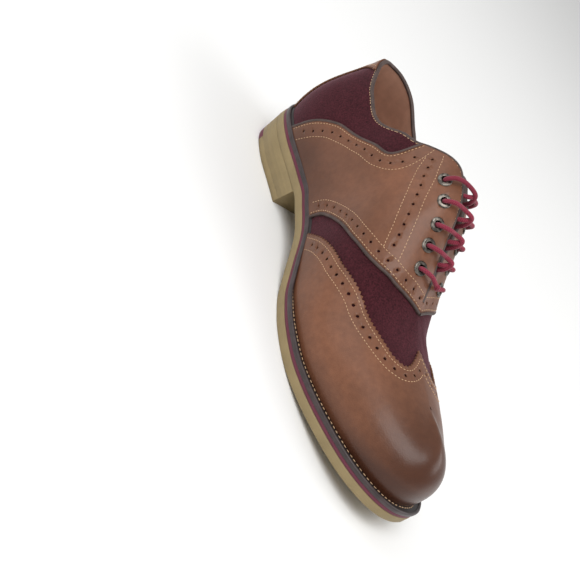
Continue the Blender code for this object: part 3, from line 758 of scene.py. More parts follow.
def suede_leather(name, colours):
    """Split leather buffed to a nap: no gloss, a short pile that lightens at a slant."""
    material, tree = new_material(name)
    place = object_place(tree)
    brush = noise(tree, place, 60, 6, 0.65)
    nap = noise(tree, place, 900, 3, 0.7)
    tone = tones(tree, nap, colours.suede, 0.45, 1.65, (0.30, 0.72))
    finish_material(
        tree,
        {"Roughness": 0.95, "Specular IOR Level": 0.15, "Sheen Weight": 0.24,
         "Sheen Roughness": 0.45, "Sheen Tint": (0.75, 0.42, 0.50, 1)},
        Base_Color=blend(tree, "OVERLAY", 0.35, tone, brush),
        Normal=bump(tree, nap, 0.55, 0.4 * MM))
    return material


def folded_leather(name, colour, roughness, worn=0.3):
    """Thin skived leather, folded and sewn: smooth, half matt, a little worn on the fold."""
    material, tree = new_material(name)
    wear = noise(tree, object_place(tree), 180, 5)
    finish_material(
        tree, {"Roughness": roughness, "Specular IOR Level": 0.45},
        Base_Color=tones(tree, wear, colour, 1 - worn, 1 + worn, (0.35, 0.75)),
        Normal=bump(tree, wear, 0.25, 0.3 * MM))
    return material


def cut_edge(name, colours):
    """The raw edge of cut leather: paler and matt, fibrous."""
    material, tree = new_material(name)
    fibre = noise(tree, object_place(tree), 800, 2)
    finish_material(
        tree, {"Roughness": 0.85}, Base_Color=tones(tree, fibre, colours.leather, 0.55, 1.05))
    return material


def moulded_rubber(name, colour, lines=0.0):
    """Moulded rubber, buffed on its edge: satin, slightly cloudy, with faint level lines where
    their spacing is given, in millimetres."""
    material, tree = new_material(name)
    place = object_place(tree)
    cloud = noise(tree, place, 70, 4)
    speck = noise(tree, place, 1400, 2)
    normal = bump(tree, speck, 0.15, 0.2 * MM)
    if lines:
        bands = add(
            tree, "ShaderNodeTexWave",
            {"bands_direction": "Z", "Scale": math.tau / 20 / (lines * MM), "Distortion": 0.3},
            Vector=place)
        normal = bump(tree, bands.outputs[0], 0.35, 0.3 * MM, Normal=normal)
    finish_material(
        tree, {"Roughness": 0.58, "Specular IOR Level": 0.4},
        Base_Color=tones(tree, cloud, colour, 0.86, 1.08, (0.3, 0.7)), Normal=normal)
    return material


def waxed_thread(name, colours):
    """Bonded sewing thread: pale, lightly waxed."""
    material, tree = new_material(name)
    twist = noise(tree, object_place(tree), 1200, 2)
    finish_material(
        tree, {"Roughness": 0.6}, Base_Color=tones(tree, twist, colours.thread, 0.6, 1.1))
    return material


# Spacing, in millimetres, at which the yarns of the lace cross, and their turns round it
YARN_PITCH = 1.1
YARN_TURNS = 4.0


def braided_cotton(name, colours):
    """Round braided lace: crossing yarns in a diamond pattern, matt with a faint sheen."""
    material, tree = new_material(name)
    # The map runs in millimetres along the lace and once round it
    plan = add(tree, "ShaderNodeUVMap").outputs[0]
    yarns = []
    for turn in (1, -1):
        lean = add(tree, "ShaderNodeVectorMath", {"operation": "DOT_PRODUCT"}, i0=plan)
        lean.inputs[1].default_value = (1 / YARN_PITCH, turn * YARN_TURNS, 0)
        wave = add(tree, "ShaderNodeMath", {"operation": "MULTIPLY"}, i0=lean.outputs["Value"])
        wave.inputs[1].default_value = math.tau
        yarns.append(add(tree, "ShaderNodeMath", {"operation": "SINE"}, i0=wave.outputs[0]))
    braid = add(
        tree, "ShaderNodeMath", {"operation": "MAXIMUM"},
        i0=yarns[0].outputs[0], i1=yarns[1].outputs[0])
    height = add(
        tree, "ShaderNodeMapRange", {"From Min": -1.0, "From Max": 1.0},
        Value=braid.outputs[0]).outputs[0]
    # Painted shade: the lace is darker down between its yarns and lighter on their crests
    finish_material(
        tree,
        {"Roughness": 0.8, "Specular IOR Level": 0.3, "Sheen Weight": 0.25,
         "Sheen Roughness": 0.4},
        Base_Color=tones(tree, height, colours.lace, 0.55, 1.12, (0.25, 0.85)),
        Normal=bump(tree, height, 0.6, 0.3 * MM))
    return material


def darkened_nickel(name, colours):
    """Turned and oxidised nickel: grey, half bright, rubbed lighter in patches."""
    material, tree = new_material(name)
    rub = noise(tree, object_place(tree), 500, 4)
    finish_material(
        tree, {"Metallic": 1.0, "Roughness": 0.30},
        Base_Color=tones(tree, rub, colours.metal, 0.28, 1.5, (0.35, 0.7)),
        Normal=bump(tree, rub, 0.2, 0.2 * MM))
    return material


def finish(name):
    """A material by its name, made when it is first asked for."""
    colours = bpy.context.scene.oxford_colours
    # Painted shade: the welt colour darkened to 0.35, a shaded copy for the groove between the welt
    # and the upper
    groove_shade = tuple(c * 0.35 for c in colours.welt)
    makers = {
        "Grain leather": lambda: grain_leather(name, colours),
        "Suede": lambda: suede_leather(name, colours),
        "Cut leather edge": lambda: cut_edge(name, colours),
        "Binding leather": lambda: folded_leather(name, colours.binding, 0.52),
        "Lining leather": lambda: folded_leather(name, colours.lining, 0.6, 0.08),
        "Welt leather": lambda: folded_leather(name, colours.welt, 0.42),
        "Welt painted shade": lambda: folded_leather(name, groove_shade, 0.5),
        "Waxed thread": lambda: waxed_thread(name, colours),
        "Braided cotton": lambda: braided_cotton(name, colours),
        "Darkened nickel": lambda: darkened_nickel(name, colours),
        "Crepe rubber": lambda: moulded_rubber(name, colours.sole),
        "Lifted rubber": lambda: moulded_rubber(name, colours.sole, 3.4),
        "Stripe rubber": lambda: moulded_rubber(name, colours.stripe),
    }
    return bpy.data.materials.get(name) or makers[name]()


# Making of the meshes


def new_piece(name, bm, materials, nodes=(), sharp=40):
    """An object at the origin with its materials and place in the frame."""
    mesh = bpy.data.meshes.new(name)
    bm.to_mesh(mesh)
    bm.free()
    mesh.shade_smooth()
    mesh.set_sharp_from_angle(angle=math.radians(sharp))
    piece = bpy.data.objects.new(name, mesh)
    bpy.context.scene.collection.objects.link(piece)
    for material in materials:
        mesh.materials.append(finish(material))
    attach(piece, "root")
    if nodes:
        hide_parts(*nodes)
    return piece


def laid_grid(bm, columns, rows, place, second=None):
    """A grid whose points are laid where place puts their two coordinates, from 0 to 1. Faces whose
    second coordinate lies in the range called second take the piece's second material."""
    made = bmesh.ops.create_grid(bm, x_segments=columns, y_segments=rows, size=0.5, calc_uvs=True)
    verts = made["verts"]
    if second:
        for face in bm.faces:
            if second[0] < face.calc_center_median().y + 0.5 < second[1]:
                face.material_index = 1
    across = np.array([vert.co.x + 0.5 for vert in verts])
    up = np.array([vert.co.y + 0.5 for vert in verts])
    for vert, spot in zip(verts, place(across, up)):
        vert.co = spot
    return verts


def close_seams(bm, distance=0.004 * MM):
    bmesh.ops.remove_doubles(bm, verts=bm.verts, dist=distance)
    bmesh.ops.recalc_face_normals(bm, faces=bm.faces)


# Turns are drawn at a hundredth of their size, so that the flat pattern is about as wide as high
DRAWN = 0.01


def cut_region(bm, outline, holes):
    """One flat region of a pattern: its outline filled round its holes."""
    edges = []
    for loop in [outline] + holes:
        verts = [bm.verts.new((turn * DRAWN, share, 0)) for turn, share in loop]
        for i, vert in enumerate(verts):
            edges.append(bm.edges.new((vert, verts[(i + 1) % len(verts)])))
    filled = bmesh.ops.triangle_fill(bm, edges=edges, use_beauty=True, normal=(0, 0, -1))
    faces = [item for item in filled["geom"] if isinstance(item, bmesh.types.BMFace)]
    if not faces:
        raise RuntimeError("a pattern's outline could not be filled")
    return faces


def score(bm, columns, rows):
    for axis, places in ((0, np.asarray(columns) * DRAWN), (1, rows)):
        normal = Vector((1, 0, 0)) if axis == 0 else Vector((0, 1, 0))
        for place in places:
            geom = list(bm.verts) + list(bm.edges) + list(bm.faces)
            bmesh.ops.bisect_plane(
                bm, geom=geom, dist=1e-7, plane_co=normal * place, plane_no=normal)


def last_pattern(bm, lift, burnish_and_shade=None):
    """Lay a flat pattern over the last, and sew up where its regions meet."""
    bm.verts.ensure_lookup_table()
    turn = np.array([vert.co.x for vert in bm.verts]) / DRAWN
    share = np.array([vert.co.y for vert in bm.verts])
    places = on_last(turn, share, lift)
    # How much burnish, and painted shade in the waist hollow, darkens each place
    layer = bm.verts.layers.float.new("burnish_and_shade")
    dark = burnish_and_shade(turn, share) if burnish_and_shade else np.zeros(len(turn))
    for vert, place, value in zip(bm.verts, places, dark):
        vert.co = place
        vert[layer] = float(value)
    crown = (np.abs(turn) > 146) & (share > 0.78)
    crown = [vert for vert, high in zip(bm.verts, crown) if high]
    bmesh.ops.remove_doubles(bm, verts=bm.verts, dist=0.05 * MM)
    # The ribs run together above the toe, and their last creases are eased out
    crown = [vert for vert in crown if vert.is_valid]
    pole = Vector(on_last(180.0, 1.0, lift))
    tip = [vert for vert in crown if (vert.co - pole).length < 5 * MM]
    bmesh.ops.remove_doubles(bm, verts=tip, dist=0.8 * MM)
    crown = [vert for vert in crown if vert.is_valid]
    for _ in range(5):
        bmesh.ops.smooth_vert(
            bm, verts=crown, factor=0.5, use_axis_x=True, use_axis_y=True, use_axis_z=True)
    if faces_point_in(bm):
        bmesh.ops.reverse_faces(bm, faces=bm.faces)


def faces_point_in(bm):
    """Whether most faces are turned towards the middle of the shoe."""
    bm.normal_update()
    middle = Vector((0, 0, 0.05))
    ways = [face.normal.dot(face.calc_center_median() - middle) > 0 for face in bm.faces]
    return sum(ways) < len(ways) / 2


def thickness(piece, depth, inner, rim):
    modifier = piece.modifiers.new("Thickness", "SOLIDIFY")
    modifier.thickness = depth
    modifier.offset = -1
    modifier.use_rim = True
    modifier.material_offset = inner
    modifier.material_offset_rim = rim


def sizes():
    return bpy.context.scene.oxford_sizes


def lift_top():
    return sizes().leather + 0.15 * MM


def both_sides(make):
    return [item for side in (MEDIAL, LATERAL) for item in make(side)]


# Decorated edges: which way their band lies from the seam, 1 towards the toe, and how far, in
# millimetres, the outer stitches, the perforations and the inner stitches run from it. The last two
# rows of the saddle's rear edge are drawn on their own
BANDS = {
    SADDLE_REAR: (1, (1.3,)),
    SADDLE_FRONT: (-1, (1.3, 5.2, 9.0)),
    WING_EDGE: (1, (2.6, 6.4, 10.4)),
    COUNTER_EDGE: (-1, (2.6, 6.0, 9.4)),
}


def band_lines(which, side):
    """Rows of a decorated edge: outer stitches, perforations and inner stitches."""
    seam = seam_curve(which, side, low=0.0)
    way, reach = BANDS[which]
    rows = [seam.beside(side * way * distance * MM) for distance in reach]
    if which == SADDLE_REAR:
        rows += [drawn(REAR_HOLES, side), drawn(REAR_STITCHES, side)]
    return rows


# A hole nearer than this to one already punched, where two rows meet, is left out
HOLES_APART = 3 * MM


def perforations(side):
    """Places of the punched holes, by the piece that they are punched in."""
    pitch = sizes().hole_pitch
    rows = {"saddle": [], "wingtip": []}
    for which, name in ((SADDLE_REAR, "saddle"), (SADDLE_FRONT, "saddle"), (WING_EDGE, "wingtip")):
        row = band_lines(which, side)[1]
        rows[name].append(row.at(row.even_runs(pitch, 3 * MM)))
    row = drawn(FACING_HOLES, side)
    rows["saddle"].append(row.at(row.even_runs(pitch * 0.9)))
    found = {}
    for name, parts in rows.items():
        turns, shares = np.concatenate(parts, axis=1)
        points = rib_point(turns, shares)
        chosen = []
        for i in np.flatnonzero((shares > 0.03) & (shares < 0.985)):
            if all(np.linalg.norm(points[i] - points[j]) > HOLES_APART for j in chosen):
                chosen.append(i)
        found[name] = (turns[chosen], shares[chosen])
    return found


def eyelet_holes(side, diameter):
    turns, shares = eyelet_places(side)
    return punched(turns, shares, diameter, 16)


UPPER_COLUMNS = np.arange(-178.5, 180, 1.5)
UPPER_ROWS = np.arange(0.0, 0.99, 0.035)


class OXFORD_OT_upper(bpy.types.Operator):
    """Suede upper with its leather lining, open at the collar and down the throat"""
    bl_idname = "oxford.upper"
    bl_label = "Upper and lining"

    def execute(self, context):
        bm = bmesh.new()
        outline = [(-180, FOOT_SHARE), (180, FOOT_SHARE), (180, 1), (-180, 1)]
        holes = both_sides(lambda side: eyelet_holes(side, 5.2 * MM))
        cut_region(bm, outline, holes)
        score(bm, np.concatenate([UPPER_COLUMNS, [-THROAT, THROAT]]), UPPER_ROWS)
        last_pattern(bm, 0.0)
        piece = new_piece("suede_upper", bm, ["Suede", "Lining leather"], ["upper"], 60)
        thickness(piece, UPPER_WALL - 0.3 * MM, 1, 1)
        return {"FINISHED"}


# Holes of the saddle and the counter, as a share of the wingtip's
SMALL_HOLE = 0.85


def toe_burnish(turn, share):
    """How dark the wing is burnished: most at the toe and a little along the welt."""
    degrees = np.abs(turn)
    tip = smooth_step(124, 168, degrees) * (0.40 + 0.42 * (1 - smooth_step(0.40, 1.0, share)))
    edge = (1 - smooth_step(0.0, 0.20, share)) * (0.20 + 0.30 * smooth_step(95, 150, degrees))
    return np.clip(tip + edge, 0, 0.92)


def saddle_burnish_and_shade(turn, share):
    """The saddle is darker along the welt, with painted shade in the hollow of the waist."""
    degrees = np.abs(turn)
    foot = (1 - smooth_step(0.0, 0.30, share)) * 0.25
    # Painted shade: darker in the hollow of the waist
    hollow = np.exp(-((degrees - 57) / 13) ** 2 - ((share - 0.14) / 0.30) ** 2) * 0.5
    return np.clip(foot + hollow, 0, 0.8)


def both_ways(low, high, step=1.5):
    """Columns on both sides of the shoe."""
    return [side * degrees for side in (-1, 1) for degrees in np.arange(low, high, step)]


def leather_piece(name, node, outlines, holes, columns, burnish_and_shade):
    """Leather over the suede: regions cut flat, scored, laid over the last and thickened."""
    bm = bmesh.new()
    for outline, own_holes in zip(outlines, holes):
        cut_region(bm, outline, own_holes)
    score(bm, columns, UPPER_ROWS)
    last_pattern(bm, lift_top(), burnish_and_shade)
    piece = new_piece(name, bm, ["Grain leather", "Cut leather edge"], [node], 35)
    thickness(piece, sizes().leather, 1, 1)


class OXFORD_OT_wingtip(bpy.types.Operator):
    """Wing-shaped toe cap with a pinked edge and punched holes"""
    bl_idname = "oxford.wingtip"
    bl_label = "Wingtip"

    def execute(self, context):
        size = sizes()
        outlines, holes = [], []
        for side in (MEDIAL, LATERAL):
            edge = pinked(seam_curve(WING_EDGE, side), size.pink_pitch, size.pink_depth)
            outlines.append(edge + [(side * 180, 1), (side * 180, FOOT_SHARE)])
            turns, shares = perforations(side)["wingtip"]
            holes.append(punched(turns, shares, size.hole))
        leather_piece(
            "wingtip_leather", "wingtip", outlines, holes, both_ways(78, 180),
            toe_burnish)
        return {"FINISHED"}


class OXFORD_OT_saddle(bpy.types.Operator):
    """Saddle panels with the eyelet facings, holes punched along their edges"""
    bl_idname = "oxford.saddle"
    bl_label = "Saddle"

    def execute(self, context):
        size = sizes()
        outlines, holes = [], []
        for side in (MEDIAL, LATERAL):
            shares = np.linspace(FOOT_SHARE, 1, 70)
            edge = drawn(DRAWN_REAR, side)
            rear = list(zip(*edge.at(np.linspace(0, edge.length, 90))))
            front = list(zip(side * SEAM[SADDLE_FRONT](shares), shares))
            outlines.append(rear + [(side * THROAT, 1)] + front[::-1])
            turns, spots = perforations(side)["saddle"]
            small = punched(turns, spots, size.hole * SMALL_HOLE)
            holes.append(small + eyelet_holes(side, 5.6 * MM))
        leather_piece(
            "saddle_leather", "saddle", outlines, holes, both_ways(42, 117),
            saddle_burnish_and_shade)
        return {"FINISHED"}


class OXFORD_OT_counter(bpy.types.Operator):
    """Heel counter with pinked edges"""
    bl_idname = "oxford.counter"
    bl_label = "Counter"

    def execute(self, context):
        size = sizes()
        edges, holes = [], []
        for side in (MEDIAL, LATERAL):
            edges.append(pinked(seam_curve(COUNTER_EDGE, side), size.pink_pitch, size.pink_depth))
            row = band_lines(COUNTER_EDGE, side)[1]
            turns, shares = row.at(row.even_runs(size.hole_pitch, 4 * MM))
            kept = (shares > 0.05) & (shares < 0.96)
            holes += punched(turns[kept], shares[kept], size.hole * SMALL_HOLE)
        leather_piece(
            "counter_leather", "counter", [edges[0] + edges[1][::-1]], [holes],
            np.arange(-36, 36.1, 1.5), saddle_burnish_and_shade)
        return {"FINISHED"}


def sew(bm, seam, lift):
    """A row of stitches: short lengths of thread that sink in at both ends."""
    size = sizes()
    turn, share, tangent, normal = seam.frame_at(seam.even_runs(size.stitch_pitch))
    places = on_last(turn, share, lift)
    for place, ahead, up in zip(places, tangent, normal):
        lay_stitch(bm, place, ahead, up, size.stitch_length, size.thread)


def lay_stitch(bm, place, ahead, up, length, thread):
    ahead = Vector(ahead)
    up = Vector(up)
    side = up.cross(ahead).normalized()
    turn = Matrix((ahead, side, ahead.cross(side))).transposed().to_4x4()
    shape = Matrix.Diagonal((length / 2, thread / 2, thread / 2, 1))
    bmesh.ops.create_uvsphere(
        bm, u_segments=6, v_segments=5, radius=1,
        matrix=Matrix.Translation(Vector(place)) @ turn @ shape)


class OXFORD_OT_stitching(bpy.types.Operator):
    """Rows of stitches on the leather pieces"""
    bl_idname = "oxford.stitching"
    bl_label = "Stitching"

    def execute(self, context):
        top = lift_top() + 0.02 * MM
        rows = {"wingtip": [], "saddle": [], "counter": []}
        bands = (("saddle", SADDLE_REAR), ("saddle", SADDLE_FRONT), ("wingtip", WING_EDGE),
                 ("counter", COUNTER_EDGE))
        for side in (MEDIAL, LATERAL):
            for name, which in bands:
                rows[name] += band_lines(which, side)[::2]
            rows["saddle"] += [drawn(points, side) for points in FACING_STITCHES]
        for name, seams in rows.items():
            bm = bmesh.new()
            for seam in seams:
                sew(bm, seam.part(0.005, 0.995), top)
            new_piece(f"{name}_stitches", bm, ["Waxed thread"], (), 80)
        return {"FINISHED"}


def tube(bm, path, radius, sides=14, flat=1.0, given=None):
    """A tube along a path, its section kept from twisting or turned to given directions; flat
    stretches it along them."""
    path = np.asarray(path, float)
    run = run_along(path)
    count = len(path)
    tangents = unit(np.gradient(path, axis=0))
    ups = [np.array([0.0, 0.0, 1.0])]
    if abs(tangents[0][2]) > 0.9:
        ups = [np.array([1.0, 0.0, 0.0])]
    for i, tangent in enumerate(tangents):
        lead = ups[-1] if given is None else given[i]
        up = lead - tangent * (lead @ tangent)
        ups.append(up / np.linalg.norm(up))
    ups = np.array(ups[1:])
    sideways = np.cross(tangents, ups)
    radii = np.broadcast_to(radius, count)
    flat = np.broadcast_to(flat, count)

    def place(along, around):
        i = np.rint(along * (count - 1)).astype(int)
        angle = around * math.tau
        out = ups[i] * (np.sin(angle) * flat[i])[:, None] + sideways[i] * np.cos(angle)[:, None]
        return path[i] + out * radii[i][:, None]

    before = set(bm.faces)
    laid_grid(bm, count - 1, sides, place)
    layer = bm.loops.layers.uv.verify()
    for face in bm.faces:
        if face in before:
            continue
        for loop in face.loops:
            loop[layer].uv.x *= run[-1] / MM


def sealed_tube(name, path, radius, material, nodes=(), sides=14, flat=1.0, given=None):
    bm = bmesh.new()
    tube(bm, path, radius, sides, flat, given)
    seal(bm)
    return new_piece(name, bm, [material], nodes, 60)


def seal(bm):
    """Join the two edges of each tube and close its ends."""
    bmesh.ops.remove_doubles(bm, verts=bm.verts, dist=0.002 * MM)
    rim = [edge for edge in bm.edges if edge.is_boundary]
    bmesh.ops.holes_fill(bm, edges=rim, sides=40)
    bmesh.ops.recalc_face_normals(bm, faces=bm.faces)


class OXFORD_OT_piping(bpy.types.Operator):
    """Piping that shows along the front and rear edges of the saddle"""
    bl_idname = "oxford.piping"
    bl_label = "Piping"

    def execute(self, context):
        size = sizes()
        bm = bmesh.new()
        for side in (MEDIAL, LATERAL):
            for which, way in ((SADDLE_REAR, -side), (SADDLE_FRONT, side)):
                seam = seam_curve(which, side).beside(way * size.piping * 0.34)
                shares = np.minimum(seam.shares, 1.0)
                path = on_last(seam.turns, shares, size.piping * 0.28)
                tube(bm, path[::3], size.piping / 2, 10)
        seal(bm)
        new_piece("saddle_piping", bm, ["Binding leather"], (), 60)
        return {"FINISHED"}


def top_edge(low, high, steps, lift):
    """Places along the middle of the top edge from the medial to the lateral side, and half the
    thickness there: thin on the suede, thicker where the saddle lies on it."""
    turns = np.linspace(low, high, steps)
    shares = np.ones(steps)
    edge = rib_point(turns, shares)
    up = unit(edge - rib_point(turns, shares - 0.03))
    normal = own_normal(turns, shares * 0.985)
    covered = smooth_step(FACING_BACK - 2, FACING_BACK + 1, np.abs(turns))
    outer = lift_top() * covered
    middle = (outer - UPPER_WALL) / 2
    half = (outer + UPPER_WALL) / 2 + 0.35 * MM
    return edge + up * lift + normal * middle[:, None], up, normal, half


class OXFORD_OT_binding(bpy.types.Operator):
    """Folded binding round the collar and down both facings, with its stitches"""
    bl_idname = "oxford.binding"
    bl_label = "Binding"

    def execute(self, context):
        size = sizes()
        path, up, normal, half = top_edge(-THROAT - 0.5, THROAT + 0.5, 420, 0.2 * MM)
        sealed_tube(
            "collar_binding_leather", path, size.binding / 2, "Binding leather",
            ["collar_binding"], 16, half / (size.binding / 2), normal)
        bm = bmesh.new()
        run = run_along(path)
        ahead = unit(np.gradient(path, axis=0))
        for spot in np.arange(3 * MM, run[-1] - 3 * MM, size.stitch_pitch):
            i = int(np.searchsorted(run, spot))
            seat = path[i] - up[i] * size.binding * 0.40 + normal[i] * half[i] * 0.72
            lay_stitch(bm, seat, ahead[i], normal[i], size.stitch_length, size.thread)
        new_piece("binding_stitches", bm, ["Waxed thread"], (), 80)
        return {"FINISHED"}


TONGUE_THICKNESS = 2.2 * MM


class OXFORD_OT_tongue(bpy.types.Operator):
    """Leather tongue under the facings"""
    bl_idname = "oxford.tongue"
    bl_label = "Tongue"

    def execute(self, context):
        depth = UPPER_WALL + 0.9 * MM
        low_turn, high_turn = THROAT + 5, FACING_TOP + 1

        def place(along, across):
            degrees = low_turn + (high_turn - low_turn) * np.minimum(along / 0.9, 1)
            beyond = np.maximum(along - 0.9, 0) / 0.1
            sway = across * 2 - 1
            reach = np.clip((np.abs(sway) - 0.3) / 0.7, 0, 1)
            low = 0.74 + 0.12 * along
            share = 1 - (1 - low) * reach * (1 - 0.45 * beyond)
            sides = []
            for side in (MEDIAL, LATERAL):
                turns = side * degrees
                inward = own_normal(turns, np.minimum(share, 0.97)) * depth
                sides.append(rib_point(turns, share) - inward)
            mix = np.clip(0.5 + sway / 0.6, 0, 1)[:, None]
            spot = sides[0] * (1 - mix) + sides[1] * mix
            bow = np.cos(np.clip(sway / 0.45, -1, 1) * math.pi / 2) * 1.2 * MM
            run = unit(rib_point(high_turn, 1.0) - rib_point(high_turn + 4, 1.0))
            spot = spot + run * (beyond * 7 * MM)[:, None]
            spot[:, 2] += bow
            return spot

        bm = bmesh.new()
        laid_grid(bm, 60, 40, place)
        bmesh.ops.smooth_vert(
            bm, verts=bm.verts, factor=0.5, use_axis_x=True, use_axis_y=True, use_axis_z=True)
        bmesh.ops.recalc_face_normals(bm, faces=bm.faces)
        if sum(face.normal.z for face in bm.faces) < 0:
            bmesh.ops.reverse_faces(bm, faces=bm.faces)
        piece = new_piece(
            "tongue_leather", bm, ["Grain leather", "Binding leather"], ["tongue"], 50)
        thickness(piece, TONGUE_THICKNESS, 1, 1)
        return {"FINISHED"}


def eyelet_frames(side):
    """Middle of each eyelet on the last, and the normal there."""
    turns, shares = eyelet_places(side)
    return on_last(turns, shares, 0.0), rib_normal(turns, shares)


class OXFORD_OT_eyelets(bpy.types.Operator):
    """Turned metal eyelets with a rolled rim"""
    bl_idname = "oxford.eyelets"
    bl_label = "Eyelets"

    def execute(self, context):
        size = sizes()
        top = lift_top()
        bore = size.eyelet_bore / 2
        rim = size.eyelet / 2
        profile = [
            (bore, -UPPER_WALL - 0.4 * MM),
            (bore + 0.5 * MM, -UPPER_WALL - 0.4 * MM),
            (bore + 0.5 * MM, top),
            (rim - 0.15 * MM, top),
            (rim, top + 0.25 * MM),
            (rim - 0.25 * MM, top + 0.62 * MM),
            (rim - 0.9 * MM, top + 0.85 * MM),
            (rim - 1.3 * MM, top + 0.72 * MM),
            (bore + 0.55 * MM, top + 0.95 * MM),
            (bore + 0.2 * MM, top + 0.85 * MM),
            (bore, top + 0.4 * MM),
        ]
        bm = bmesh.new()
        nodes = []
        for side, label in ((MEDIAL, "medial"), (LATERAL, "lateral")):
            centres, normals = eyelet_frames(side)
            for number, (centre, normal) in enumerate(zip(centres, normals)):
                nodes.append(f"eyelet_{label}_{number + 1}")
                ring = [bm.verts.new((radius, 0, height)) for radius, height in profile]
                edges = [bm.edges.new(pair) for pair in zip(ring, ring[1:] + ring[:1])]
                before = set(bm.verts) - set(ring)
                bmesh.ops.spin(
                    bm, geom=ring + edges, cent=(0, 0, 0), axis=(0, 0, 1), angle=math.tau,
                    steps=28, use_merge=True)
                made = [vert for vert in bm.verts if vert not in before]
                turn = Vector(normal).to_track_quat("Z", "Y").to_matrix().to_4x4()
                matrix = Matrix.Translation(Vector(centre)) @ turn
                bmesh.ops.transform(bm, matrix=matrix, verts=made)
        bmesh.ops.recalc_face_normals(bm, faces=bm.faces)
        new_piece("eyelets_metal", bm, ["Darkened nickel"], nodes, 50)
        return {"FINISHED"}


# How far along, towards the next eyelet, a crossing goes under the other edge
LACE_REACH = 0.75
# How far each crossing stands up, in millimetres, from the top pair down
LACE_LIFTS = (4.2, 5.0, 5.4, 5.0)


def over_edge(turn, lift):
    """A place above the edge of the facing."""
    return on_last([turn], [1.0], 0.0)[0] + rib_normal([turn], [0.96])[0] * lift


def lace_route(side, number):
    """From inside an eyelet, over the facing's edge, across the throat and under the other edge."""
    centres, normals = eyelet_frames(side)
    centre, normal = centres[number], normals[number]
    turns, _ = eyelet_places(side)
    other_turns, _ = eyelet_places(-side)
    half = sizes().lace / 2
    top = lift_top()
    over = 1.0 if side == MEDIAL else 0.0
    near_turn = turns[number] + (turns[number + 1] - turns[number]) * 0.45
    far_turn = other_turns[number] + (other_turns[number + 1] - other_turns[number]) * LACE_REACH
    near = over_edge(near_turn, top + half * 2.2)
    far = on_last([far_turn], [1.0], 0.0)[0]
    middle = (near + far) / 2
    up = np.array([0.35, 0, 0.94])
    crest = middle + up * (LACE_LIFTS[number] + over * 2.6) * MM + np.array([1.5, 0, 0]) * MM
    under = on_last([far_turn], [0.93], -UPPER_WALL - half * 1.1)[0]
    inner = near - centre
    return rounded_path([
        centre - normal * 3.2 * MM,
        centre + normal * (top - 0.2 * MM),
        centre + normal * (top + half * 1.5) + inner * 0.16,
        centre + inner * 0.55 + normal * (top + half * 2.3),
        near + up * 1.2 * MM,
        crest,
        far + (crest - far) * 0.45 + up * 1.0 * MM + np.array([1.2, 0, 0]) * MM,
        far + (middle - far) * 0.10 - up * 1.4 * MM,
        under,
    ])


class OXFORD_OT_laces(bpy.types.Operator):
    """Round lace that crosses the throat from eyelet to eyelet, with a bar at the bottom pair"""
    bl_idname = "oxford.laces"
    bl_label = "Laces"

    def execute(self, context):
        half = sizes().lace / 2
        bm = bmesh.new()
        last = EYELETS_A_SIDE - 1
        for side in (MEDIAL, LATERAL):
            for number in range(last):
                tube(bm, lace_route(side, number), half, 12)
        top = lift_top()
        ends = []
        for side in (MEDIAL, LATERAL):
            centres, normals = eyelet_frames(side)
            turns, _ = eyelet_places(side)
            centre, normal = centres[last], normals[last]
            edge = over_edge(turns[last] + side * 3.2, top + half * 2)
            ends.append([
                centre - normal * 3.2 * MM,
                centre + normal * (top - 0.2 * MM),
                centre + normal * (top + half * 1.5) + (edge - centre) * 0.18,
                centre + (edge - centre) * 0.6 + normal * (top + half * 1.9),
                edge + np.array([1.5, 0, 0.6]) * MM,
            ])
        crest = (ends[0][-1] + ends[1][-1]) / 2 + np.array([1.0, 0, 1.2]) * MM
        tube(bm, rounded_path(ends[0] + [crest] + ends[1][::-1]), half, 12)
        seal(bm)
        nodes = ["lace_bar"] + [f"lace_cross_{number + 1}" for number in range(last)]
        new_piece("laces_braided", bm, ["Braided cotton"], nodes, 80)
        return {"FINISHED"}


def slab(bm, knots, columns):
    """A closed layer of the sole. Knots: place across from -1 to 1, inset and lift."""
    knots = np.array(knots + knots[:1], float)

    def place(along, around):
        i = np.rint(around * (len(knots) - 1)).astype(int)
        degrees = np.maximum(along * 180, 1e-9)
        degrees = np.where(along <= 0, 0, degrees)
        across = (knots[i, 0:1] + 1) / 2
        medial = inset_edge(-np.where(degrees == 0, 1e-12, degrees), knots[i, 1])
        lateral = inset_edge(degrees, knots[i, 1])
        return on_sole(medial * (1 - across) + lateral * across, knots[i, 2])

    laid_grid(bm, columns, len(knots) - 1, place)
    close_seams(bm)


def layer_knots(inset, low, high, soft):
    """Section of a flat layer with softened edges."""
    bottom = [(across, inset + soft, low) for across in np.linspace(-1, 1, 11)]
    top = [(across, inset + soft, high) for across in np.linspace(1, -1, 11)]
    right = [(1, inset + soft * 0.3, low + soft * 0.3), (1, inset, low + soft),
             (1, inset, high - soft), (1, inset + soft * 0.3, high - soft * 0.3)]
    left = [(-1, knot[1], knot[2]) for knot in right[::-1]]
    return bottom + right + top + left


class OXFORD_OT_sole(bpy.types.Operator):
    """Outsole and coloured midsole"""
    bl_idname = "oxford.sole"
    bl_label = "Outsole and midsole"

    def execute(self, context):
        bm = bmesh.new()
        slab(bm, layer_knots(0, 0, OUTSOLE_TOP, 0.8 * MM), 150)
        new_piece("outsole_rubber", bm, ["Crepe rubber"], ["outsole"], 50)
        bm = bmesh.new()
        low, high = OUTSOLE_TOP + 0.05 * MM, MIDSOLE_TOP + 0.2 * MM
        slab(bm, layer_knots(MIDSOLE_INSET, low, high, 0.25 * MM), 150)
        new_piece("midsole_rubber", bm, ["Stripe rubber"], ["midsole"], 50)
        return {"FINISHED"}


# The welt is stitched where it stands out by more than this
WELT_STITCHED = 3.2 * MM
WELT_PITCH = 3.0 * MM
WELT_STITCH = 2.3 * MM
WELT_THREAD = 0.6 * MM


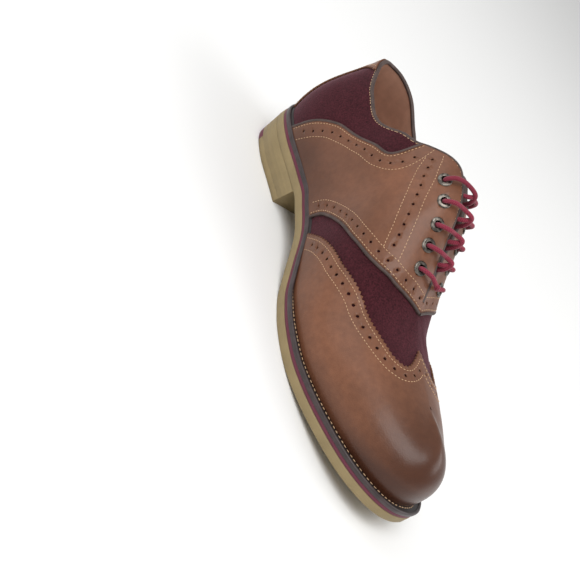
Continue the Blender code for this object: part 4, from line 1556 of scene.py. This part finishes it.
class OXFORD_OT_welt(bpy.types.Operator):
    """Welt with a rolled outer rib and lockstitches beside the upper"""
    bl_idname = "oxford.welt"
    bl_label = "Welt"

    def execute(self, context):
        low = MIDSOLE_TOP + 0.25 * MM
        flat = WELT_TOP - 0.9 * MM
        # Section: edge followed (0 sole, 1 feather), inset from it, lift
        knots = np.array([
            (1, WELT_UNDER, low),
            (0, 0.2 * MM, low),
            (0, 0.0, low + 0.3 * MM),
            (0, 0.0, WELT_TOP - 1.3 * MM),
            (0, 0.15 * MM, WELT_TOP - 0.6 * MM),
            (0, 0.55 * MM, WELT_TOP - 0.1 * MM),
            (0, 1.0 * MM, WELT_TOP),
            (0, 1.45 * MM, WELT_TOP - 0.15 * MM),
            (0, 1.8 * MM, WELT_TOP - 0.6 * MM),
            (0, 2.0 * MM, flat),
            (1, -0.9 * MM, flat + 0.1 * MM),
            (1, -0.75 * MM, WELT_TOP + 0.9 * MM),
            (1, -0.35 * MM, WELT_TOP + 1.5 * MM),
            (1, 0.6 * MM, WELT_TOP + 1.5 * MM),
            (1, 2.2 * MM, WELT_TOP - 0.1 * MM),
            (1, WELT_UNDER, WELT_TOP - 0.1 * MM),
            (1, WELT_UNDER, low),
        ])

        def place(around, section):
            i = np.rint(section * (len(knots) - 1)).astype(int)
            turn = around * 360 - 180
            inset = knots[i, 1] + np.where(knots[i, 0] == 1, STAND_OUT(np.abs(turn)), 0)
            return on_sole(inset_edge(turn, inset), knots[i, 2])

        bm = bmesh.new()
        # Painted shadow: the groove between the rib and the upper, with the lip that stands up
        # behind it, takes the second, darker material, which stands in for the shade there
        groove_shade = (8 / (len(knots) - 1), 14 / (len(knots) - 1))
        laid_grid(bm, 360, len(knots) - 1, place, groove_shade)
        close_seams(bm)
        new_piece("welt_leather", bm, ["Welt leather", "Welt painted shade"], ["welt"], 50)
        turns = np.linspace(-179.5, 179.5, 1400)
        # The stitches run half way between the rib and the upper where the welt is wide enough
        row = on_sole(feather_edge(turns, -2.1 * MM), flat + 0.12 * MM)
        run = run_along(row)
        ahead = unit(np.gradient(row, axis=0))
        bm = bmesh.new()
        for spot in np.arange(0, run[-1], WELT_PITCH):
            i = int(np.searchsorted(run, spot))
            if STAND_OUT(abs(turns[i])) > WELT_STITCHED:
                lay_stitch(bm, row[i], ahead[i], (0, 0, 1), WELT_STITCH, WELT_THREAD)
        new_piece("welt_stitches", bm, ["Waxed thread"], (), 80)
        return {"FINISHED"}


def heel_slab(bm, low, high, front_low, front_high, hollow, start=0.0, columns=40,
              soft=(0.5 * MM, 0.5 * MM)):
    """A block that follows the heel, tapered towards the floor, with a straight or hollow front. It
    runs from the heel back, or from a start further on."""
    across = 16
    levels = [low, low + soft[0], high - soft[1], high]
    drawn_in = [soft[0], 0.0, 0.0, soft[1]]
    widths = np.linspace(0, 1, across + 1)
    knots = [(w, levels[0], drawn_in[0]) for w in widths]
    knots += [(1, levels[1], drawn_in[1]), (1, levels[2], drawn_in[2])]
    knots += [(w, levels[3], drawn_in[3]) for w in widths[::-1]]
    knots += [(0, levels[2], drawn_in[2]), (0, levels[1], drawn_in[1])]
    knots = np.array(knots + knots[:1])
    first = np.degrees(np.arccos(1 - 2 * start / LENGTH))

    def place(along, around):
        i = np.rint(around * (len(knots) - 1)).astype(int)
        share = knots[i, 0]
        height = knots[i, 1]
        inset = HEEL_INSET + HEEL_TAPER * (1 - height / HEEL_HEIGHT) + knots[i, 2]
        front = front_low + (front_high - front_low) * (height - low) / max(high - low, 1e-9)
        last = np.degrees(np.arccos(1 - 2 * front / LENGTH))
        degrees = np.maximum(first + (last - first) * along, 1e-12)
        medial = inset_edge(-degrees, inset)
        lateral = inset_edge(degrees, inset)
        plan = medial * (1 - share[:, None]) + lateral * share[:, None]
        plan[:, 0] -= hollow * np.sin(math.pi * share) * along ** 4
        plan[:, 0] = np.where(along >= 1, front - hollow * np.sin(math.pi * share), plan[:, 0])
        if start:
            plan[:, 0] = np.where(along <= 0, start, plan[:, 0])
        return np.concatenate([plan, height[:, None]], 1) - CENTRE

    made = laid_grid(bm, columns, len(knots) - 1, place)
    bmesh.ops.remove_doubles(bm, verts=made, dist=0.004 * MM)
    middle = start + (front_low - start) / 2 - CENTRE[0]
    for sign in (1, -1):
        rim = [edge for edge in bm.edges if edge.is_boundary]
        rim = [edge for edge in rim if (edge.verts[0].co.x - middle) * sign > 0]
        upper = [edge for edge in rim if all(vert.co.z > high - 1e-6 for vert in edge.verts)]
        lower = [edge for edge in rim if all(vert.co.z < low + 1e-6 for vert in edge.verts)]
        if upper and lower:
            bmesh.ops.bridge_loops(bm, edges=upper + lower)
    rim = [edge for edge in bm.edges if edge.is_boundary]
    bmesh.ops.holes_fill(bm, edges=rim, sides=8)
    bmesh.ops.recalc_face_normals(bm, faces=bm.faces)


class OXFORD_OT_heel(bpy.types.Operator):
    """Heel block of stacked lifts, and its foot in front of the tip"""
    bl_idname = "oxford.heel"
    bl_label = "Heel"

    def execute(self, context):
        seat = HEEL_HEIGHT + 0.05 * MM
        bm = bmesh.new()
        slant = BREAST_SLANT * (TIP_THICKNESS / HEEL_HEIGHT)
        foot = BREAST - BREAST_SLANT
        heel_slab(
            bm, TIP_THICKNESS, seat, foot + slant, BREAST, BREAST_HOLLOW,
            soft=(0.06 * MM, 0.25 * MM))
        lowest = bmesh.new()
        heel_slab(
            lowest, 0, TIP_THICKNESS + 0.4 * MM, foot, foot + slant, BREAST_HOLLOW,
            TIP_LENGTH + GAP, 20, (0.5 * MM, 0.06 * MM))
        new_piece("heel_rubber", bm, ["Lifted rubber"], ["heel"], 50)
        new_piece("heel_foot_rubber", lowest, ["Lifted rubber"], ["heel"], 50)
        return {"FINISHED"}


class OXFORD_OT_heel_tip(bpy.types.Operator):
    """Coloured rubber tip at the back of the heel's lowest lift"""
    bl_idname = "oxford.heel_tip"
    bl_label = "Heel tip"

    def execute(self, context):
        bm = bmesh.new()
        heel_slab(bm, 0, TIP_THICKNESS, TIP_LENGTH, TIP_LENGTH, 0)
        new_piece("heel_tip_rubber", bm, ["Stripe rubber"], ["heel_tip"], 50)
        return {"FINISHED"}


class OXFORD_OT_sock(bpy.types.Operator):
    """Leather sock on the insole, inside the shoe"""
    bl_idname = "oxford.sock"
    bl_label = "Sock"

    def execute(self, context):
        inset = UPPER_WALL + 0.4 * MM
        low = UPPER_FOOT - 0.6 * MM
        high = UPPER_FOOT + INSOLE_THICKNESS
        section = layer_knots(0, low, high, 0.5 * MM)
        knots = np.array(section + section[:1])

        def place(along, around):
            i = np.rint(around * (len(knots) - 1)).astype(int)
            degrees = np.where(along <= 0, 1e-12, along * 180)
            across = (knots[i, 0:1] + 1) / 2
            reach = inset + knots[i, 1]
            medial = feather_edge(-degrees, reach)
            lateral = feather_edge(degrees, reach)
            crown = np.where(knots[i, 2] > low + 1e-4, (knots[i, 0] ** 2) * 1.2 * MM, 0)
            return on_sole(medial * (1 - across) + lateral * across, knots[i, 2] + crown)

        bm = bmesh.new()
        laid_grid(bm, 120, len(knots) - 1, place)
        close_seams(bm)
        new_piece("sock_leather", bm, ["Lining leather"], ["insole"], 60)
        return {"FINISHED"}


# Camera found by fitting the last to the photograph: place, then right, down and forward axes
CAMERA_PLACE = (0.4113, -0.5216, 0.2963)
CAMERA_AXES = (
    (0.16802, 0.60662, 0.77703),
    (0.79707, 0.38020, -0.46918),
    (-0.58004, 0.69818, -0.41964),
)
CAMERA_FOCAL = 1161.0
IMAGE_WIDTH = 580.0
SENSOR = 36.0


# Studio: the strength of the white surroundings, and each light's place, size and power
WORLD_STRENGTH = 0.54
LIGHTS = {
    "Key": ((0.5, -0.9, 1.5), (1.1, 1.1), 17),
    "Fill": ((-0.9, -0.9, 0.9), (1.2, 1.0), 5),
    "Back": ((0.6, 1.1, 1.1), (1.4, 0.8), 9),
}
LIT = (0, 0, 0.05)
FLOOR_RADIUS = 30


def soft_light(name, place, size, power):
    """A rectangular lamp turned to the middle of the shoe."""
    light = bpy.data.lights.new(name, "AREA")
    light.shape = "RECTANGLE"
    light.size, light.size_y = size
    light.energy = power
    lamp = bpy.data.objects.new(name, light)
    lamp.location = place
    lamp.rotation_mode = "QUATERNION"
    lamp.rotation_quaternion = (Vector(LIT) - Vector(place)).to_track_quat("-Z", "Y")
    bpy.context.scene.collection.objects.link(lamp)


class OXFORD_OT_stage(bpy.types.Operator):
    """Pale floor, soft studio lights and the camera"""
    bl_idname = "oxford.stage"
    bl_label = "Stage"

    def execute(self, context):
        bm = bmesh.new()
        bmesh.ops.create_circle(bm, cap_ends=True, segments=96, radius=FLOOR_RADIUS)
        mesh = bpy.data.meshes.new("studio_floor")
        bm.to_mesh(mesh)
        bm.free()
        floor = bpy.data.objects.new("studio_floor", mesh)
        context.scene.collection.objects.link(floor)
        # Matt painted board: plain and pale, no gloss
        material, tree = new_material("Painted board")
        finish_material(
            tree,
            {"Base Color": shade(context.scene.oxford_colours.floor), "Roughness": 0.9,
             "Specular IOR Level": 0.1})
        mesh.materials.append(material)

        world = bpy.data.worlds.new("Studio")
        context.scene.world = world
        world.use_nodes = True
        backdrop = world.node_tree.nodes["Background"]
        backdrop.inputs[0].default_value = (1, 1, 1, 1)
        backdrop.inputs[1].default_value = WORLD_STRENGTH
        for name, settings in LIGHTS.items():
            soft_light(name, *settings)

        camera = bpy.data.cameras.new("Camera")
        camera.sensor_width = SENSOR
        camera.lens = CAMERA_FOCAL / IMAGE_WIDTH * SENSOR
        camera.clip_start = 0.05
        camera.clip_end = 100
        eye = bpy.data.objects.new("Camera", camera)
        right, down, forward = (Vector(axis).normalized() for axis in CAMERA_AXES)
        turn = Matrix((right, -down, -forward)).transposed().to_4x4()
        eye.matrix_world = Matrix.Translation(CAMERA_PLACE) @ turn
        context.scene.collection.objects.link(eye)
        context.scene.camera = eye
        context.scene.view_settings.view_transform = "Standard"
        return {"FINISHED"}


class OXFORD_PT_panel(bpy.types.Panel):
    """Pieces, sizes and colours of the shoe"""
    bl_idname = "OXFORD_PT_panel"
    bl_label = "Wingtip Oxford"
    bl_space_type = "VIEW_3D"
    bl_region_type = "UI"
    bl_category = "Oxford"

    def draw(self, context):
        layout = self.layout
        for operator in OPERATORS:
            layout.operator(operator.bl_idname)
        for group, title in (("oxford_sizes", "Sizes"), ("oxford_colours", "Colours")):
            box = layout.box()
            box.label(text=title)
            settings = getattr(context.scene, group)
            for name in settings.bl_rna.properties.keys():
                if name not in ("rna_type", "name"):
                    box.prop(settings, name)


OPERATORS = (
    OXFORD_OT_stage,
    OXFORD_OT_sole,
    OXFORD_OT_welt,
    OXFORD_OT_heel,
    OXFORD_OT_heel_tip,
    OXFORD_OT_sock,
    OXFORD_OT_upper,
    OXFORD_OT_wingtip,
    OXFORD_OT_saddle,
    OXFORD_OT_counter,
    OXFORD_OT_stitching,
    OXFORD_OT_piping,
    OXFORD_OT_binding,
    OXFORD_OT_tongue,
    OXFORD_OT_eyelets,
    OXFORD_OT_laces,
)
CLASSES = (OxfordSizes, OxfordColours) + OPERATORS + (OXFORD_PT_panel,)


def register():
    for item in CLASSES:
        bpy.utils.register_class(item)
    bpy.types.Scene.oxford_sizes = PointerProperty(type=OxfordSizes)
    bpy.types.Scene.oxford_colours = PointerProperty(type=OxfordColours)


def unregister():
    del bpy.types.Scene.oxford_colours
    del bpy.types.Scene.oxford_sizes
    for item in reversed(CLASSES):
        bpy.utils.unregister_class(item)


def main():
    register()
    for operator in OPERATORS:
        getattr(bpy.ops.oxford, operator.bl_idname.split(".")[1])()


if __name__ == "__main__":
    main()
